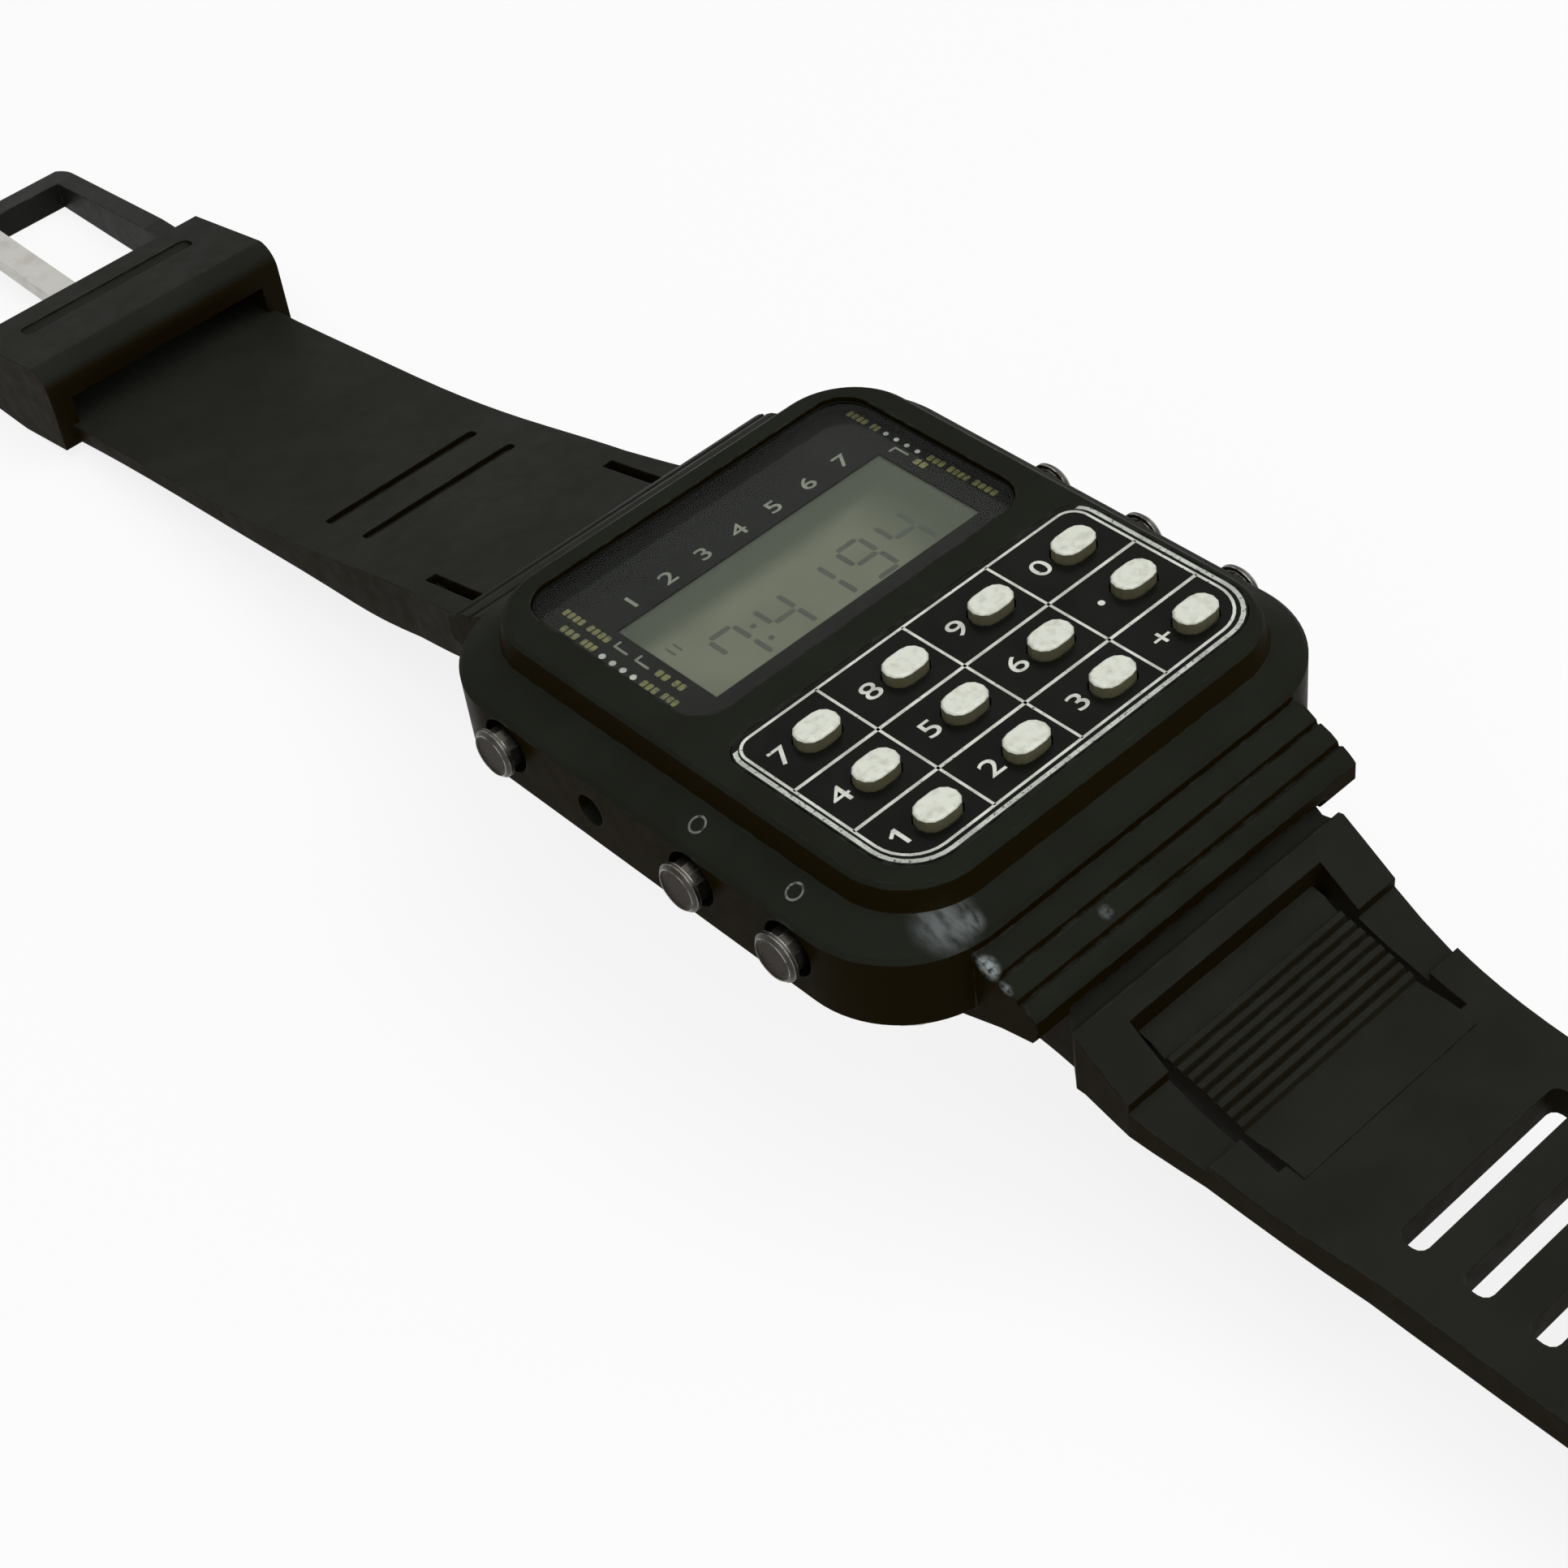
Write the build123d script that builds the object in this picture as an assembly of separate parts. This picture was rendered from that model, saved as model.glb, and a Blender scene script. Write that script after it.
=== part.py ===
"""Calculator watch: resin case with a liquid crystal display, twelve keys, six side buttons and a resin strap.

Millimetres. The origin is the centre of the outer face of the case back.
+X points to 3 o'clock, +Y to 12 o'clock and +Z out of the face.
The watch lies as on a table: the head is level and both straps slope down to the table.
"""
from build123d import *
from math import atan2, cos, degrees, pi, radians, sin
import os

# Overrun of every cut past the face it opens
CUT = 1.0

# Chords of a small rounded corner, and sides of small hidden round pieces
CORNER_CHORDS = 3
ROUND_SIDES = 12
SMALL_SIDES = 8

# Case: outline, heights and the raised face
CASE_WIDTH = 33.4
CASE_LENGTH = 37.5
CASE_CORNER = 6.3
FOOT_WIDTH = 30.4
FOOT_LENGTH = 34.6
FOOT_CORNER = 6.0
CASE_BOTTOM_Z = 0.7
WALL_FOOT_Z = 2.4
SHOULDER_Z = 6.9
SHOULDER_EDGE = 0.25
FACE_FOOT_Z = 7.8
FACE_Z = 9.2
FACE_WIDTH = 28.1
FACE_LENGTH = 33.3
FACE_CORNER = 4.4
FACE_SHIFT_X = 0.25
FACE_WALL_SPREAD = 0.45
FACE_EDGE = 0.2

# Hollow of the case for the module
HOLLOW_WIDTH = 25.8
HOLLOW_LENGTH = 30.0
HOLLOW_CORNER = 4.0
HOLLOW_ROOF_Z = 7.2
MODULE_GAP = 0.3

# Strap hoods and lugs at both ends of the case
HOOD_WIDTH = 23.5
HOOD_REACH = 22.65
HOOD_LIP_Z = 4.15
HOOD_LIP_THICKNESS = 0.8
HOOD_GROOVE_DEPTH = 0.3
LUG_CHEEK = 2.4
HINGE_Y = 19.65
HINGE_Z = 3.5
HINGE_RELIEF = 0.25
SPRING_BAR_RADIUS = 0.65
SPRING_BAR_TIP_RADIUS = 0.4
SPRING_BAR_TIP = 1.1
RUNNING_GAP = 0.05

# Case back, gasket and screws
BACK_WIDTH = 28.0
BACK_LENGTH = 32.2
BACK_CORNER = 2.0
GASKET_WIDTH = 0.5
GASKET_HEIGHT = 0.5
GASKET_INSET = 0.6
GASKET_GAP = 0.03
BACK_SCREW_X = 12.75
BACK_SCREW_Y = 14.85
SCREW_HEAD_RADIUS = 0.8
SCREW_HEAD_HEIGHT = 0.35
SCREW_RADIUS = 0.4
SCREW_LENGTH = 2.6
SCREW_GAP = 0.03
SCREW_SLOT_WIDTH = 0.25
SCREW_SLOT_DEPTH = 0.18

# Display: window, printed face plate, liquid crystal panel, reflector, connectors and frame
WINDOW_LOW_Y = 0.6
WINDOW_HIGH_Y = 15.35
WINDOW_WIDTH = 24.2
WINDOW_SHIFT_X = 0.5
WINDOW_CORNER = 2.0
WINDOW_THICKNESS = 1.0
WINDOW_SINK = 0.25
SEAT_GAP = 0.05
FACE_PLATE_THICKNESS = 0.2
PRINT_GAP = 0.05
VIEW_LEFT_X = -8.85
VIEW_RIGHT_X = 10.65
VIEW_LOW_Y = 2.5
VIEW_HIGH_Y = 10.45
LCD_LEFT_X = -10.05
LCD_RIGHT_X = 11.85
LCD_LOW_Y = 1.5
LCD_HIGH_Y = 11.5
LCD_THICKNESS = 1.4
LCD_LEDGE = 1.3
REFLECTOR_THICKNESS = 0.2
CONNECTOR_WIDTH = 1.0
CONNECTOR_LENGTH = 19.0
LAMP_RADIUS = 0.5
LAMP_LENGTH = 3.0
LAMP_X = -11.2
LAMP_Y = 7.0

# Keypad: printed plate, keys and rubber mat
PAD_WIDTH = 26.1
PAD_SHIFT_X = 0.8
PAD_LOW_Y = -15.35
PAD_HIGH_Y = -1.55
PAD_HIGH_CORNER = 1.6
PAD_LOW_CORNER = 3.0
PAD_THICKNESS = 1.0
PAD_LEDGE = 0.3
KEY_PITCH_X = 6.25
KEY_PITCH_Y = 4.26
KEY_FIRST_X = -8.1
KEY_FIRST_Y = -4.45
KEY_LABELS = (("7", "8", "9", "0"), ("4", "5", "6", "point"), ("1", "2", "3", "plus"))
KEY_WIDTH = 2.7
KEY_DEPTH = 1.8
KEY_CORNER = 0.88
KEY_PROUD = 0.7
KEY_EDGE = 0.1
KEY_GAP = 0.1
KEY_FLANGE_LIP = 0.2
KEY_FLANGE_HEIGHT = 0.5
KEY_FLANGE_REST = 0.1
KEY_FOOT_RADIUS = 0.6
KEY_TRAVEL = 0.5
MAT_THICKNESS = 0.45
MAT_MARGIN = 1.0
MAT_CORNER = 1.2
DOME_FOOT_RADIUS = 0.9
DOME_TOP_RADIUS = 0.6
DOME_HEIGHT = 1.4

# Module: circuit board, its parts, holder, cell and clamp
BOARD_TOP_Z = 4.0
BOARD_THICKNESS = 0.6
HOLDER_LOW_Z = 1.0
CHIP_SIDE = 6.0
CHIP_HEIGHT = 1.0
CHIP_X = -4.6
CHIP_Y = 5.4
QUARTZ_RADIUS = 0.9
QUARTZ_LENGTH = 6.0
QUARTZ_X = -7.4
QUARTZ_Y = -3.0
TRIMMER_RADIUS = 1.4
TRIMMER_HEIGHT = 1.1
TRIMMER_X = -7.4
TRIMMER_Y = -8.6
CELL_RADIUS = 5.8
CELL_HEIGHT = 2.1
CELL_X = 4.6
CELL_Y = -4.6
CELL_GAP = 0.15
CLAMP_THICKNESS = 0.2
CLAMP_WIDTH = 4.0
POCKET_GAP = 0.2
MODULE_SCREW_X = 11.0
MODULE_SCREW_Y = 13.2
MODULE_SCREW_RADIUS = 0.4
MODULE_SCREW_HEAD_RADIUS = 0.8
MODULE_SCREW_HEAD_HEIGHT = 0.25
MODULE_SCREW_REACH = 1.6

# Side buttons, their springs and clips, and the recessed adjusting pusher
BUTTON_Z = 5.0
LEFT_BUTTONS_Y = {"top": 11.1, "mid": -3.7, "low": -10.8}
RIGHT_BUTTONS_Y = {"top": 3.75, "mid": -3.05, "low": -9.95}
BUTTON_RADIUS = 1.45
BUTTON_RIM = 0.22
BUTTON_DISH = 0.12
BUTTON_HEAD = 0.45
BUTTON_PROUD = 1.06
BUTTON_NECK_RADIUS = 1.2
BUTTON_NECK = 1.05
BUTTON_STEM_RADIUS = 0.45
BUTTON_TRAVEL = 0.5
BUTTON_WELL_RADIUS = 1.65
BUTTON_WELL_DEPTH = 1.6
STEM_PAST_WALL = 0.45
CLIP_RADIUS = 0.72
CLIP_THICKNESS = 0.2
CLIP_GROOVE_RADIUS = 0.28
CLIP_GAP = 0.05
CLIP_SEAT = 1.0
SPRING_RADIUS = 0.85
SPRING_WIRE = 0.1
SPRING_TURNS = 2
SPRING_STEPS = 8
ADJUST_Y = 4.2
ADJUST_Z = 4.7
ADJUST_RADIUS = 0.5
ADJUST_SINK = 0.8
ADJUST_MOUTH_RADIUS = 0.95
ADJUST_MOUTH_DEPTH = 1.0
ADJUST_FLANGE_RADIUS = 0.66
ADJUST_TRAVEL = 0.4
NOTCH_WIDTH = 2.2
NOTCH_DEPTH = 1.15
NOTCH_TOP_Z = 5.8

# Strap: what both halves share
TABLE_Z = -10.7
STRAP_ROOT_WIDTH = 18.6
STRAP_ROOT_RADIUS = 1.45
STRAP_ROOT_CLEAR = 3.3
STRAP_HEEL_Y = 0.6
BAND_THICKNESS = 1.6

# Twelve o'clock half: from the hinge to the buckle bar
TOP_REACH = 66.1
TOP_SHOULDER_WIDTH = 17.8
TOP_BAND_WIDTH = 17.2
TOP_END_WIDTH = 15.2
TOP_CREASES_Y = (40.45, 44.65)
CREASE_LENGTH = 12.0
CREASE_WIDTH = 0.9
CREASE_DEPTH = 0.55
SLIT_X = 7.0
SLIT_WIDTH = 0.8
SLIT_LOW_Y = 26.85
SLIT_HIGH_Y = 31.85
SLIT_DEPTH = 1.3
KEEPER_TO_BAR = 13.7
KEEPER_LENGTH = 11.0
KEEPER_WIDTH = 19.4
KEEPER_FRONT_HEIGHT = 4.6
KEEPER_BACK_HEIGHT = 3.8
KEEPER_ROUND = 1.6
TUNNEL_WIDTH = 16.2
TUNNEL_HEIGHT = 2.1
KEEPER_GROOVE_LENGTH = 14.2
KEEPER_GROOVE_WIDTH = 1.5
KEEPER_GROOVE_DEPTH = 0.45

# Six o'clock half: from the hinge to the tip
TAIL_REACH = 114.1
ARM_WIDTH = 20.0
RAIL_WIDTH = 18.7
TAIL_BAND_WIDTH = 17.5
TAIL_END_WIDTH = 14.8
ARM_START_Y = 23.15
ARM_END_Y = 26.75
ARM_RISE = 0.6
BEAM_WIDTH_Y = 1.1
SECOND_ARM_Y = 31.05
BRIDGE_WIDTH = 13.0
BRIDGE_SLIT = 0.6
BRIDGE_END_Y = 33.6
BRIDGE_RAMP_END_Y = 34.7
RIB_START_Y = 25.95
RIB_END_Y = 30.95
RIB_COUNT = 8
RIB_DEPTH = 0.28
FIRST_SLOT_Y = 40.5
SLOT_PITCH = 3.7
SLOT_COUNT = 18
SLOT_LENGTH = 12.2
SLOT_WIDTH = 1.6
SLOT_CORNER = 0.55

# Buckle: frame, tongue and bar
BUCKLE_BAR_RADIUS = 0.6
KNUCKLE_RADIUS = 1.3
FRAME_WIDTH = 19.0
FRAME_INNER_WIDTH = 15.8
FRAME_REACH = 16.7
FRAME_BAR = 2.7
FRAME_EAR = 1.6
FRAME_BACK_HEIGHT = 3.2
FRAME_FRONT_HEIGHT = 2.1
FRAME_CORNER = 2.2
TONGUE_WIDTH = 2.2
TONGUE_THICKNESS = 1.0
TONGUE_EYE_RADIUS = 1.15
TONGUE_PAST_BAR = 0.4
TONGUE_SEAT = 0.45
TONGUE_GAP = 0.25
NOTCH_RADIUS = 1.6

# Upper side of a strap hood: (Y, Z) of its three ribs, and the underside of its cheek
HOOD_RIBS = (
    ((18.7, 6.2), (19.4, 6.0), (20.05, 5.6)),
    ((20.35, 5.5), (21.0, 5.25), (21.45, 4.95)),
    ((21.8, 4.8), (22.2, 4.55), (22.5, 4.3)),
)
CHEEK_UNDERSIDE = ((22.65, 3.05), (22.35, 2.6), (20.25, 2.1), (17.75, 1.2), (16.25, 0.7))

# Side profiles of the strap halves: (share of the reach, share of the drop) from the hinge
TOP_UPPER_SHARES = (
    (0.020, 0.030), (0.047, 0.144), (0.107, 0.236), (0.168, 0.303), (0.228, 0.370), (0.297, 0.454),
    (0.372, 0.542), (0.478, 0.641), (0.615, 0.732), (0.781, 0.831), (0.886, 0.872), (0.977, 0.887),
)
TOP_LOWER_SHARES = (
    (0.009, 0.289), (0.070, 0.416), (0.115, 0.493), (0.176, 0.570), (0.251, 0.648), (0.342, 0.690),
    (0.478, 0.754), (0.629, 0.824), (0.796, 0.930), (0.871, 0.986), (0.913, 1.0),
)
RAIL_UPPER_SHARES = (
    (0.012, 0.005), (0.0263, 0.095), (0.0447, 0.197), (0.0622, 0.296), (0.0798, 0.349), (0.1017, 0.395),
)
BAND_UPPER_SHARES = (
    (0.1017, 0.352), (0.1236, 0.394), (0.1849, 0.4225), (0.2463, 0.4507), (0.369, 0.521), (0.544, 0.644),
    (0.7195, 0.775), (0.824, 0.851), (0.877, 0.887), (1.0, 0.887),
)
TAIL_LOWER_SHARES = (
    (0.0053, 0.300), (0.0342, 0.345), (0.0622, 0.4155), (0.0973, 0.472), (0.150, 0.532), (0.2463, 0.574),
    (0.369, 0.641), (0.544, 0.761), (0.7195, 0.887), (0.825, 0.972), (0.877, 1.0),
)
BRIDGE_UPPER_SHARES = (
    (0.0395, 0.218), (0.0473, 0.232), (0.0622, 0.271), (0.0798, 0.306), (0.0973, 0.356), (0.115, 0.377),
    (0.1225, 0.382),
)

# Worked-out levels and places
BACK_THICKNESS = CASE_BOTTOM_Z
WINDOW_TOP_Z = FACE_Z - WINDOW_SINK
WINDOW_BOTTOM_Z = WINDOW_TOP_Z - WINDOW_THICKNESS
PLATE_BOTTOM_Z = WINDOW_BOTTOM_Z - FACE_PLATE_THICKNESS
LCD_BOTTOM_Z = PLATE_BOTTOM_Z - LCD_THICKNESS
LCD_MIDDLE_X = (LCD_LEFT_X + LCD_RIGHT_X) / 2
PAD_BOTTOM_Z = FACE_Z - PAD_THICKNESS
FLANGE_TOP_Z = PAD_BOTTOM_Z - KEY_FLANGE_REST
FLANGE_BOTTOM_Z = FLANGE_TOP_Z - KEY_FLANGE_HEIGHT
PAD_ROOM_Z = FLANGE_BOTTOM_Z - KEY_TRAVEL - KEY_FLANGE_REST
MAT_TOP_Z = BOARD_TOP_Z + MAT_THICKNESS
DOME_TOP_Z = MAT_TOP_Z + DOME_HEIGHT
BOARD_BOTTOM_Z = BOARD_TOP_Z - BOARD_THICKNESS
MODULE_WIDTH = HOLLOW_WIDTH - 2 * MODULE_GAP
MODULE_LENGTH = HOLLOW_LENGTH - 2 * MODULE_GAP
MODULE_CORNER = HOLLOW_CORNER - MODULE_GAP
RAIL_INNER_X = KEY_FIRST_X - KEY_WIDTH / 2 - 2 * KEY_FLANGE_LIP
CASE_SIDE_X = CASE_WIDTH / 2
HOLLOW_SIDE_X = HOLLOW_WIDTH / 2
STRAP_DROP = HINGE_Z - TABLE_Z
BUCKLE_Y = HINGE_Y + TOP_REACH
BUCKLE_Z = TABLE_Z + KNUCKLE_RADIUS
KEEPER_START_Y = BUCKLE_Y - KEEPER_TO_BAR
LUG_GAP = HOOD_WIDTH - 2 * LUG_CHEEK
LAST_KEY_X = KEY_FIRST_X + 3 * KEY_PITCH_X
LAST_KEY_Y = KEY_FIRST_Y - 2 * KEY_PITCH_Y


def box_between(x_low, x_high, y_low, y_high, z_low, z_high):
    """A box given by its low and high corners."""
    size = (x_high - x_low, y_high - y_low, z_high - z_low)
    middle = Pos((x_low + x_high) / 2, (y_low + y_high) / 2, (z_low + z_high) / 2)
    return middle * Box(*size)


def soft_outline(width, length, corner, z=0, x=0, y=0):
    """A flat rectangle whose corners are rounded with a few chords."""
    points = []
    for quarter in range(4):
        side_x = 1 if quarter in (0, 3) else -1
        side_y = 1 if quarter in (0, 1) else -1
        for chord in range(CORNER_CHORDS + 1):
            angle = (quarter + chord / CORNER_CHORDS) * pi / 2
            points.append((
                x + side_x * (width / 2 - corner) + corner * cos(angle),
                y + side_y * (length / 2 - corner) + corner * sin(angle),
            ))
    return Pos(0, 0, z) * make_face(Polyline(*points, close=True).edges())


def soft_slab(width, length, corner, z_low, z_high, x=0, y=0):
    """A flat plate with corners rounded by a few chords."""
    return extrude(soft_outline(width, length, corner, z_low, x, y), z_high - z_low)


def slab_rows(width, y_low, y_high, corner, z_low, z_high, x=0):
    """A flat plate with true round corners, given by its width and its two Y edges."""
    outline = Pos(x, (y_low + y_high) / 2, z_low) * RectangleRounded(width, y_high - y_low, corner)
    return extrude(outline, z_high - z_low)


def upright(radius, z_low, z_high, x, y):
    """A cylinder that stands along Z."""
    return Pos(x, y, (z_low + z_high) / 2) * Cylinder(radius, z_high - z_low)


def upright_prism(radius, z_low, z_high, x, y, sides=ROUND_SIDES):
    """A small many-sided prism that stands along Z."""
    return extrude(Pos(x, y, z_low) * RegularPolygon(radius, sides), z_high - z_low)


def crosswise(radius, x_low, x_high, y, z):
    """A cylinder that lies along X."""
    return Pos((x_low + x_high) / 2, y, z) * Rot(0, 90, 0) * Cylinder(radius, x_high - x_low)


def crosswise_prism(radius, x_low, x_high, y, z, sides=ROUND_SIDES):
    """A small many-sided prism that lies along X."""
    return Pos(x_low, y, z) * Rot(0, 90, 0) * extrude(RegularPolygon(radius, sides), x_high - x_low)


def side_solid(edges, width):
    """A solid of a closed outline of (Y, Z) edges, extruded to both sides of the centre plane."""
    return extrude(Plane.YZ * make_face(edges), width / 2, both=True)


def side_polygon(points, width):
    """A solid of a closed (Y, Z) polygon, extruded to both sides of the centre plane."""
    return side_solid(Polyline(*points, close=True).edges(), width)


# Case

def case_layer(width, length, corner, z, x=0):
    """One outline of the case at a height."""
    return Pos(x, 0, z) * RectangleRounded(width, length, corner)


def case_shell():
    """The outer form: undercut foot, upright wall, sloping shoulder and raised face."""
    outline = case_layer(CASE_WIDTH, CASE_LENGTH, CASE_CORNER, WALL_FOOT_Z)
    foot = loft([case_layer(FOOT_WIDTH, FOOT_LENGTH, FOOT_CORNER, CASE_BOTTOM_Z), outline], ruled=True)
    wall = extrude(outline, SHOULDER_Z - WALL_FOOT_Z)
    wall = chamfer(wall.faces().sort_by(Axis.Z)[-1].edges(), SHOULDER_EDGE)
    face_foot = case_layer(FACE_WIDTH + 2 * FACE_WALL_SPREAD, FACE_LENGTH + 2 * FACE_WALL_SPREAD,
                           FACE_CORNER + FACE_WALL_SPREAD, FACE_FOOT_Z, FACE_SHIFT_X)
    shoulder_foot = case_layer(CASE_WIDTH - 2 * SHOULDER_EDGE, CASE_LENGTH - 2 * SHOULDER_EDGE,
                               CASE_CORNER - SHOULDER_EDGE, SHOULDER_Z)
    shoulder = loft([shoulder_foot, face_foot], ruled=True)
    lean = degrees(atan2(FACE_WALL_SPREAD, FACE_Z - FACE_FOOT_Z))
    raised = extrude(face_foot, FACE_Z - FACE_FOOT_Z, taper=lean)
    raised = chamfer(raised.faces().sort_by(Axis.Z)[-1].edges(), FACE_EDGE)
    return foot + wall + shoulder + raised


def hood_profile():
    """Outline of a strap hood: three ribs that fall to a thin lip, and the lug cheek under it."""
    root_y = HOLLOW_LENGTH / 2 + CUT / 2
    points = [(root_y, HOOD_RIBS[0][0][1])]
    for rib in HOOD_RIBS:
        points += rib
        last_y, last_z = rib[-1]
        points.append((last_y + HOOD_GROOVE_DEPTH / 3, last_z - HOOD_GROOVE_DEPTH))
    points[-1] = (HOOD_REACH, HOOD_LIP_Z)
    points += CHEEK_UNDERSIDE
    points.append((root_y, CASE_BOTTOM_Z))
    return points


def lug_hollow():
    """The space under a hood that the strap root turns in."""
    swing = STRAP_ROOT_RADIUS + HINGE_RELIEF
    lip_z = HOOD_LIP_Z - HOOD_LIP_THICKNESS
    round_part = crosswise(swing, -LUG_GAP / 2, LUG_GAP / 2, HINGE_Y, HINGE_Z)
    below = CASE_BOTTOM_Z - CUT
    open_part = side_polygon([
        (HINGE_Y - swing, HINGE_Z),
        (HINGE_Y, HINGE_Z),
        (HINGE_Y + swing * sin(radians(45)), HINGE_Z + swing * cos(radians(45))),
        (HOOD_REACH, lip_z),
        (HOOD_REACH + CUT, lip_z),
        (HOOD_REACH + CUT, below),
        (HINGE_Y - swing, below),
    ], LUG_GAP)
    return round_part + open_part


def lug_holes():
    """Blind holes in the cheeks for the tips of the spring bar."""
    reach = LUG_GAP / 2 + SPRING_BAR_TIP + RUNNING_GAP
    return crosswise_prism(SPRING_BAR_TIP_RADIUS + RUNNING_GAP, -reach, reach, HINGE_Y, HINGE_Z)


def key_places():
    """Name, X and Y of each key, row by row from the display."""
    for row, labels in enumerate(KEY_LABELS):
        for column, label in enumerate(labels):
            yield label, KEY_FIRST_X + column * KEY_PITCH_X, KEY_FIRST_Y - row * KEY_PITCH_Y


def button_places():
    """Name, side (-1 left, +1 right) and Y of each side button."""
    for name, y in LEFT_BUTTONS_Y.items():
        yield "left_" + name, -1, y
    for name, y in RIGHT_BUTTONS_Y.items():
        yield "right_" + name, 1, y


def pad_outline(grow, z):
    """Outline of the keypad plate: small corners by the display and large ones at the six o'clock side."""
    width = PAD_WIDTH + 2 * grow
    length = PAD_HIGH_Y - PAD_LOW_Y + 2 * grow
    outline = Rectangle(width, length)
    outline = fillet(outline.vertices().group_by(Axis.Y)[0], PAD_LOW_CORNER + grow)
    outline = fillet(outline.vertices().group_by(Axis.Y)[-1], PAD_HIGH_CORNER + grow)
    return Pos(PAD_SHIFT_X, (PAD_LOW_Y + PAD_HIGH_Y) / 2, z) * outline


def pad_opening():
    """The opening under the keypad plate, which leaves a ledge for the plate."""
    side = KEY_WIDTH / 2 + 2 * KEY_FLANGE_LIP + PAD_LEDGE
    end = KEY_DEPTH / 2 + 2 * KEY_FLANGE_LIP + PAD_LEDGE
    return box_between(KEY_FIRST_X - side, LAST_KEY_X + side, LAST_KEY_Y - end, KEY_FIRST_Y + end, PAD_ROOM_Z,
                       PAD_BOTTOM_Z)


def button_bores(side, y):
    """The well for a button and its spring, the bore for its stem and the flat for its clip."""
    well = crosswise(BUTTON_WELL_RADIUS, CASE_SIDE_X - BUTTON_WELL_DEPTH, CASE_SIDE_X + CUT, side * y, BUTTON_Z)
    bore = crosswise_prism(BUTTON_STEM_RADIUS + RUNNING_GAP, HOLLOW_SIDE_X - CUT, CASE_SIDE_X - BUTTON_WELL_DEPTH,
                           side * y, BUTTON_Z)
    seat = box_between(HOLLOW_SIDE_X - CUT, HOLLOW_SIDE_X, side * y - CLIP_SEAT, side * y + CLIP_SEAT,
                       BUTTON_Z - CLIP_SEAT, BUTTON_Z + CLIP_SEAT)
    return Rot(0, 0, 0 if side > 0 else 180) * (well + bore + seat)


def adjust_bore():
    """The recessed hole for the adjusting pusher, in the left wall."""
    mouth = crosswise(ADJUST_MOUTH_RADIUS, -CASE_SIDE_X - CUT, -CASE_SIDE_X + ADJUST_MOUTH_DEPTH, ADJUST_Y, ADJUST_Z)
    bore = crosswise_prism(ADJUST_RADIUS + RUNNING_GAP, -CASE_SIDE_X, -HOLLOW_SIDE_X + CUT, ADJUST_Y, ADJUST_Z)
    return mouth + bore


def gasket_ring(width, height, z_low):
    """A flat ring that runs round the hollow, inside the screws."""
    corner = HOLLOW_CORNER + GASKET_INSET
    mid_width = HOLLOW_WIDTH + 2 * GASKET_INSET
    mid_length = HOLLOW_LENGTH + 2 * GASKET_INSET
    outer = soft_slab(mid_width + width, mid_length + width, corner + width / 2, z_low, z_low + height)
    inner = soft_slab(mid_width - width, mid_length - width, corner - width / 2, z_low, z_low + height)
    return outer - inner


def make_case():
    """The resin case, with the seats of everything that it carries."""
    case = case_shell()
    for turn in (0, 180):
        case += Rot(0, 0, turn) * side_polygon(hood_profile(), HOOD_WIDTH)
    for turn in (0, 180):
        case -= Rot(0, 0, turn) * lug_hollow()
        case -= Rot(0, 0, turn) * lug_holes()
    case -= soft_slab(HOLLOW_WIDTH, HOLLOW_LENGTH, HOLLOW_CORNER, CASE_BOTTOM_Z - CUT, HOLLOW_ROOF_Z)
    case -= gasket_ring(GASKET_WIDTH + 2 * GASKET_GAP, GASKET_HEIGHT + GASKET_GAP, CASE_BOTTOM_Z)
    case -= slab_rows(WINDOW_WIDTH + 2 * SEAT_GAP, WINDOW_LOW_Y - SEAT_GAP, WINDOW_HIGH_Y + SEAT_GAP,
                      WINDOW_CORNER + SEAT_GAP, PLATE_BOTTOM_Z, FACE_Z + CUT, WINDOW_SHIFT_X)
    case -= box_between(LCD_LEFT_X - SEAT_GAP, LCD_RIGHT_X + SEAT_GAP, LCD_LOW_Y - SEAT_GAP,
                        LCD_HIGH_Y + SEAT_GAP, HOLLOW_ROOF_Z - CUT, PLATE_BOTTOM_Z)
    case -= extrude(pad_outline(SEAT_GAP, PAD_BOTTOM_Z), PAD_THICKNESS + CUT)
    case -= pad_opening()
    for _, side, y in button_places():
        case -= button_bores(side, y)
    case -= adjust_bore()
    for x, y in back_screw_places():
        case -= upright_prism(SCREW_RADIUS + SCREW_GAP, CASE_BOTTOM_Z - CUT, SCREW_LENGTH + SCREW_GAP, x, y)
    return case


# Display

def make_display_window():
    """The clear window over the display, sunk a little below the raised face."""
    return slab_rows(WINDOW_WIDTH, WINDOW_LOW_Y, WINDOW_HIGH_Y, WINDOW_CORNER, WINDOW_BOTTOM_Z, WINDOW_TOP_Z,
                     WINDOW_SHIFT_X)


def make_face_plate():
    """The printed plate behind the window, open over the display."""
    top_z = WINDOW_BOTTOM_Z - PRINT_GAP
    plate = slab_rows(WINDOW_WIDTH, WINDOW_LOW_Y, WINDOW_HIGH_Y, WINDOW_CORNER, PLATE_BOTTOM_Z, top_z, WINDOW_SHIFT_X)
    return plate - box_between(VIEW_LEFT_X, VIEW_RIGHT_X, VIEW_LOW_Y, VIEW_HIGH_Y, PLATE_BOTTOM_Z - CUT,
                               WINDOW_BOTTOM_Z + CUT)


def make_lcd_panel():
    """The liquid crystal cell."""
    return box_between(LCD_LEFT_X, LCD_RIGHT_X, LCD_LOW_Y, LCD_HIGH_Y, LCD_BOTTOM_Z, PLATE_BOTTOM_Z)


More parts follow.
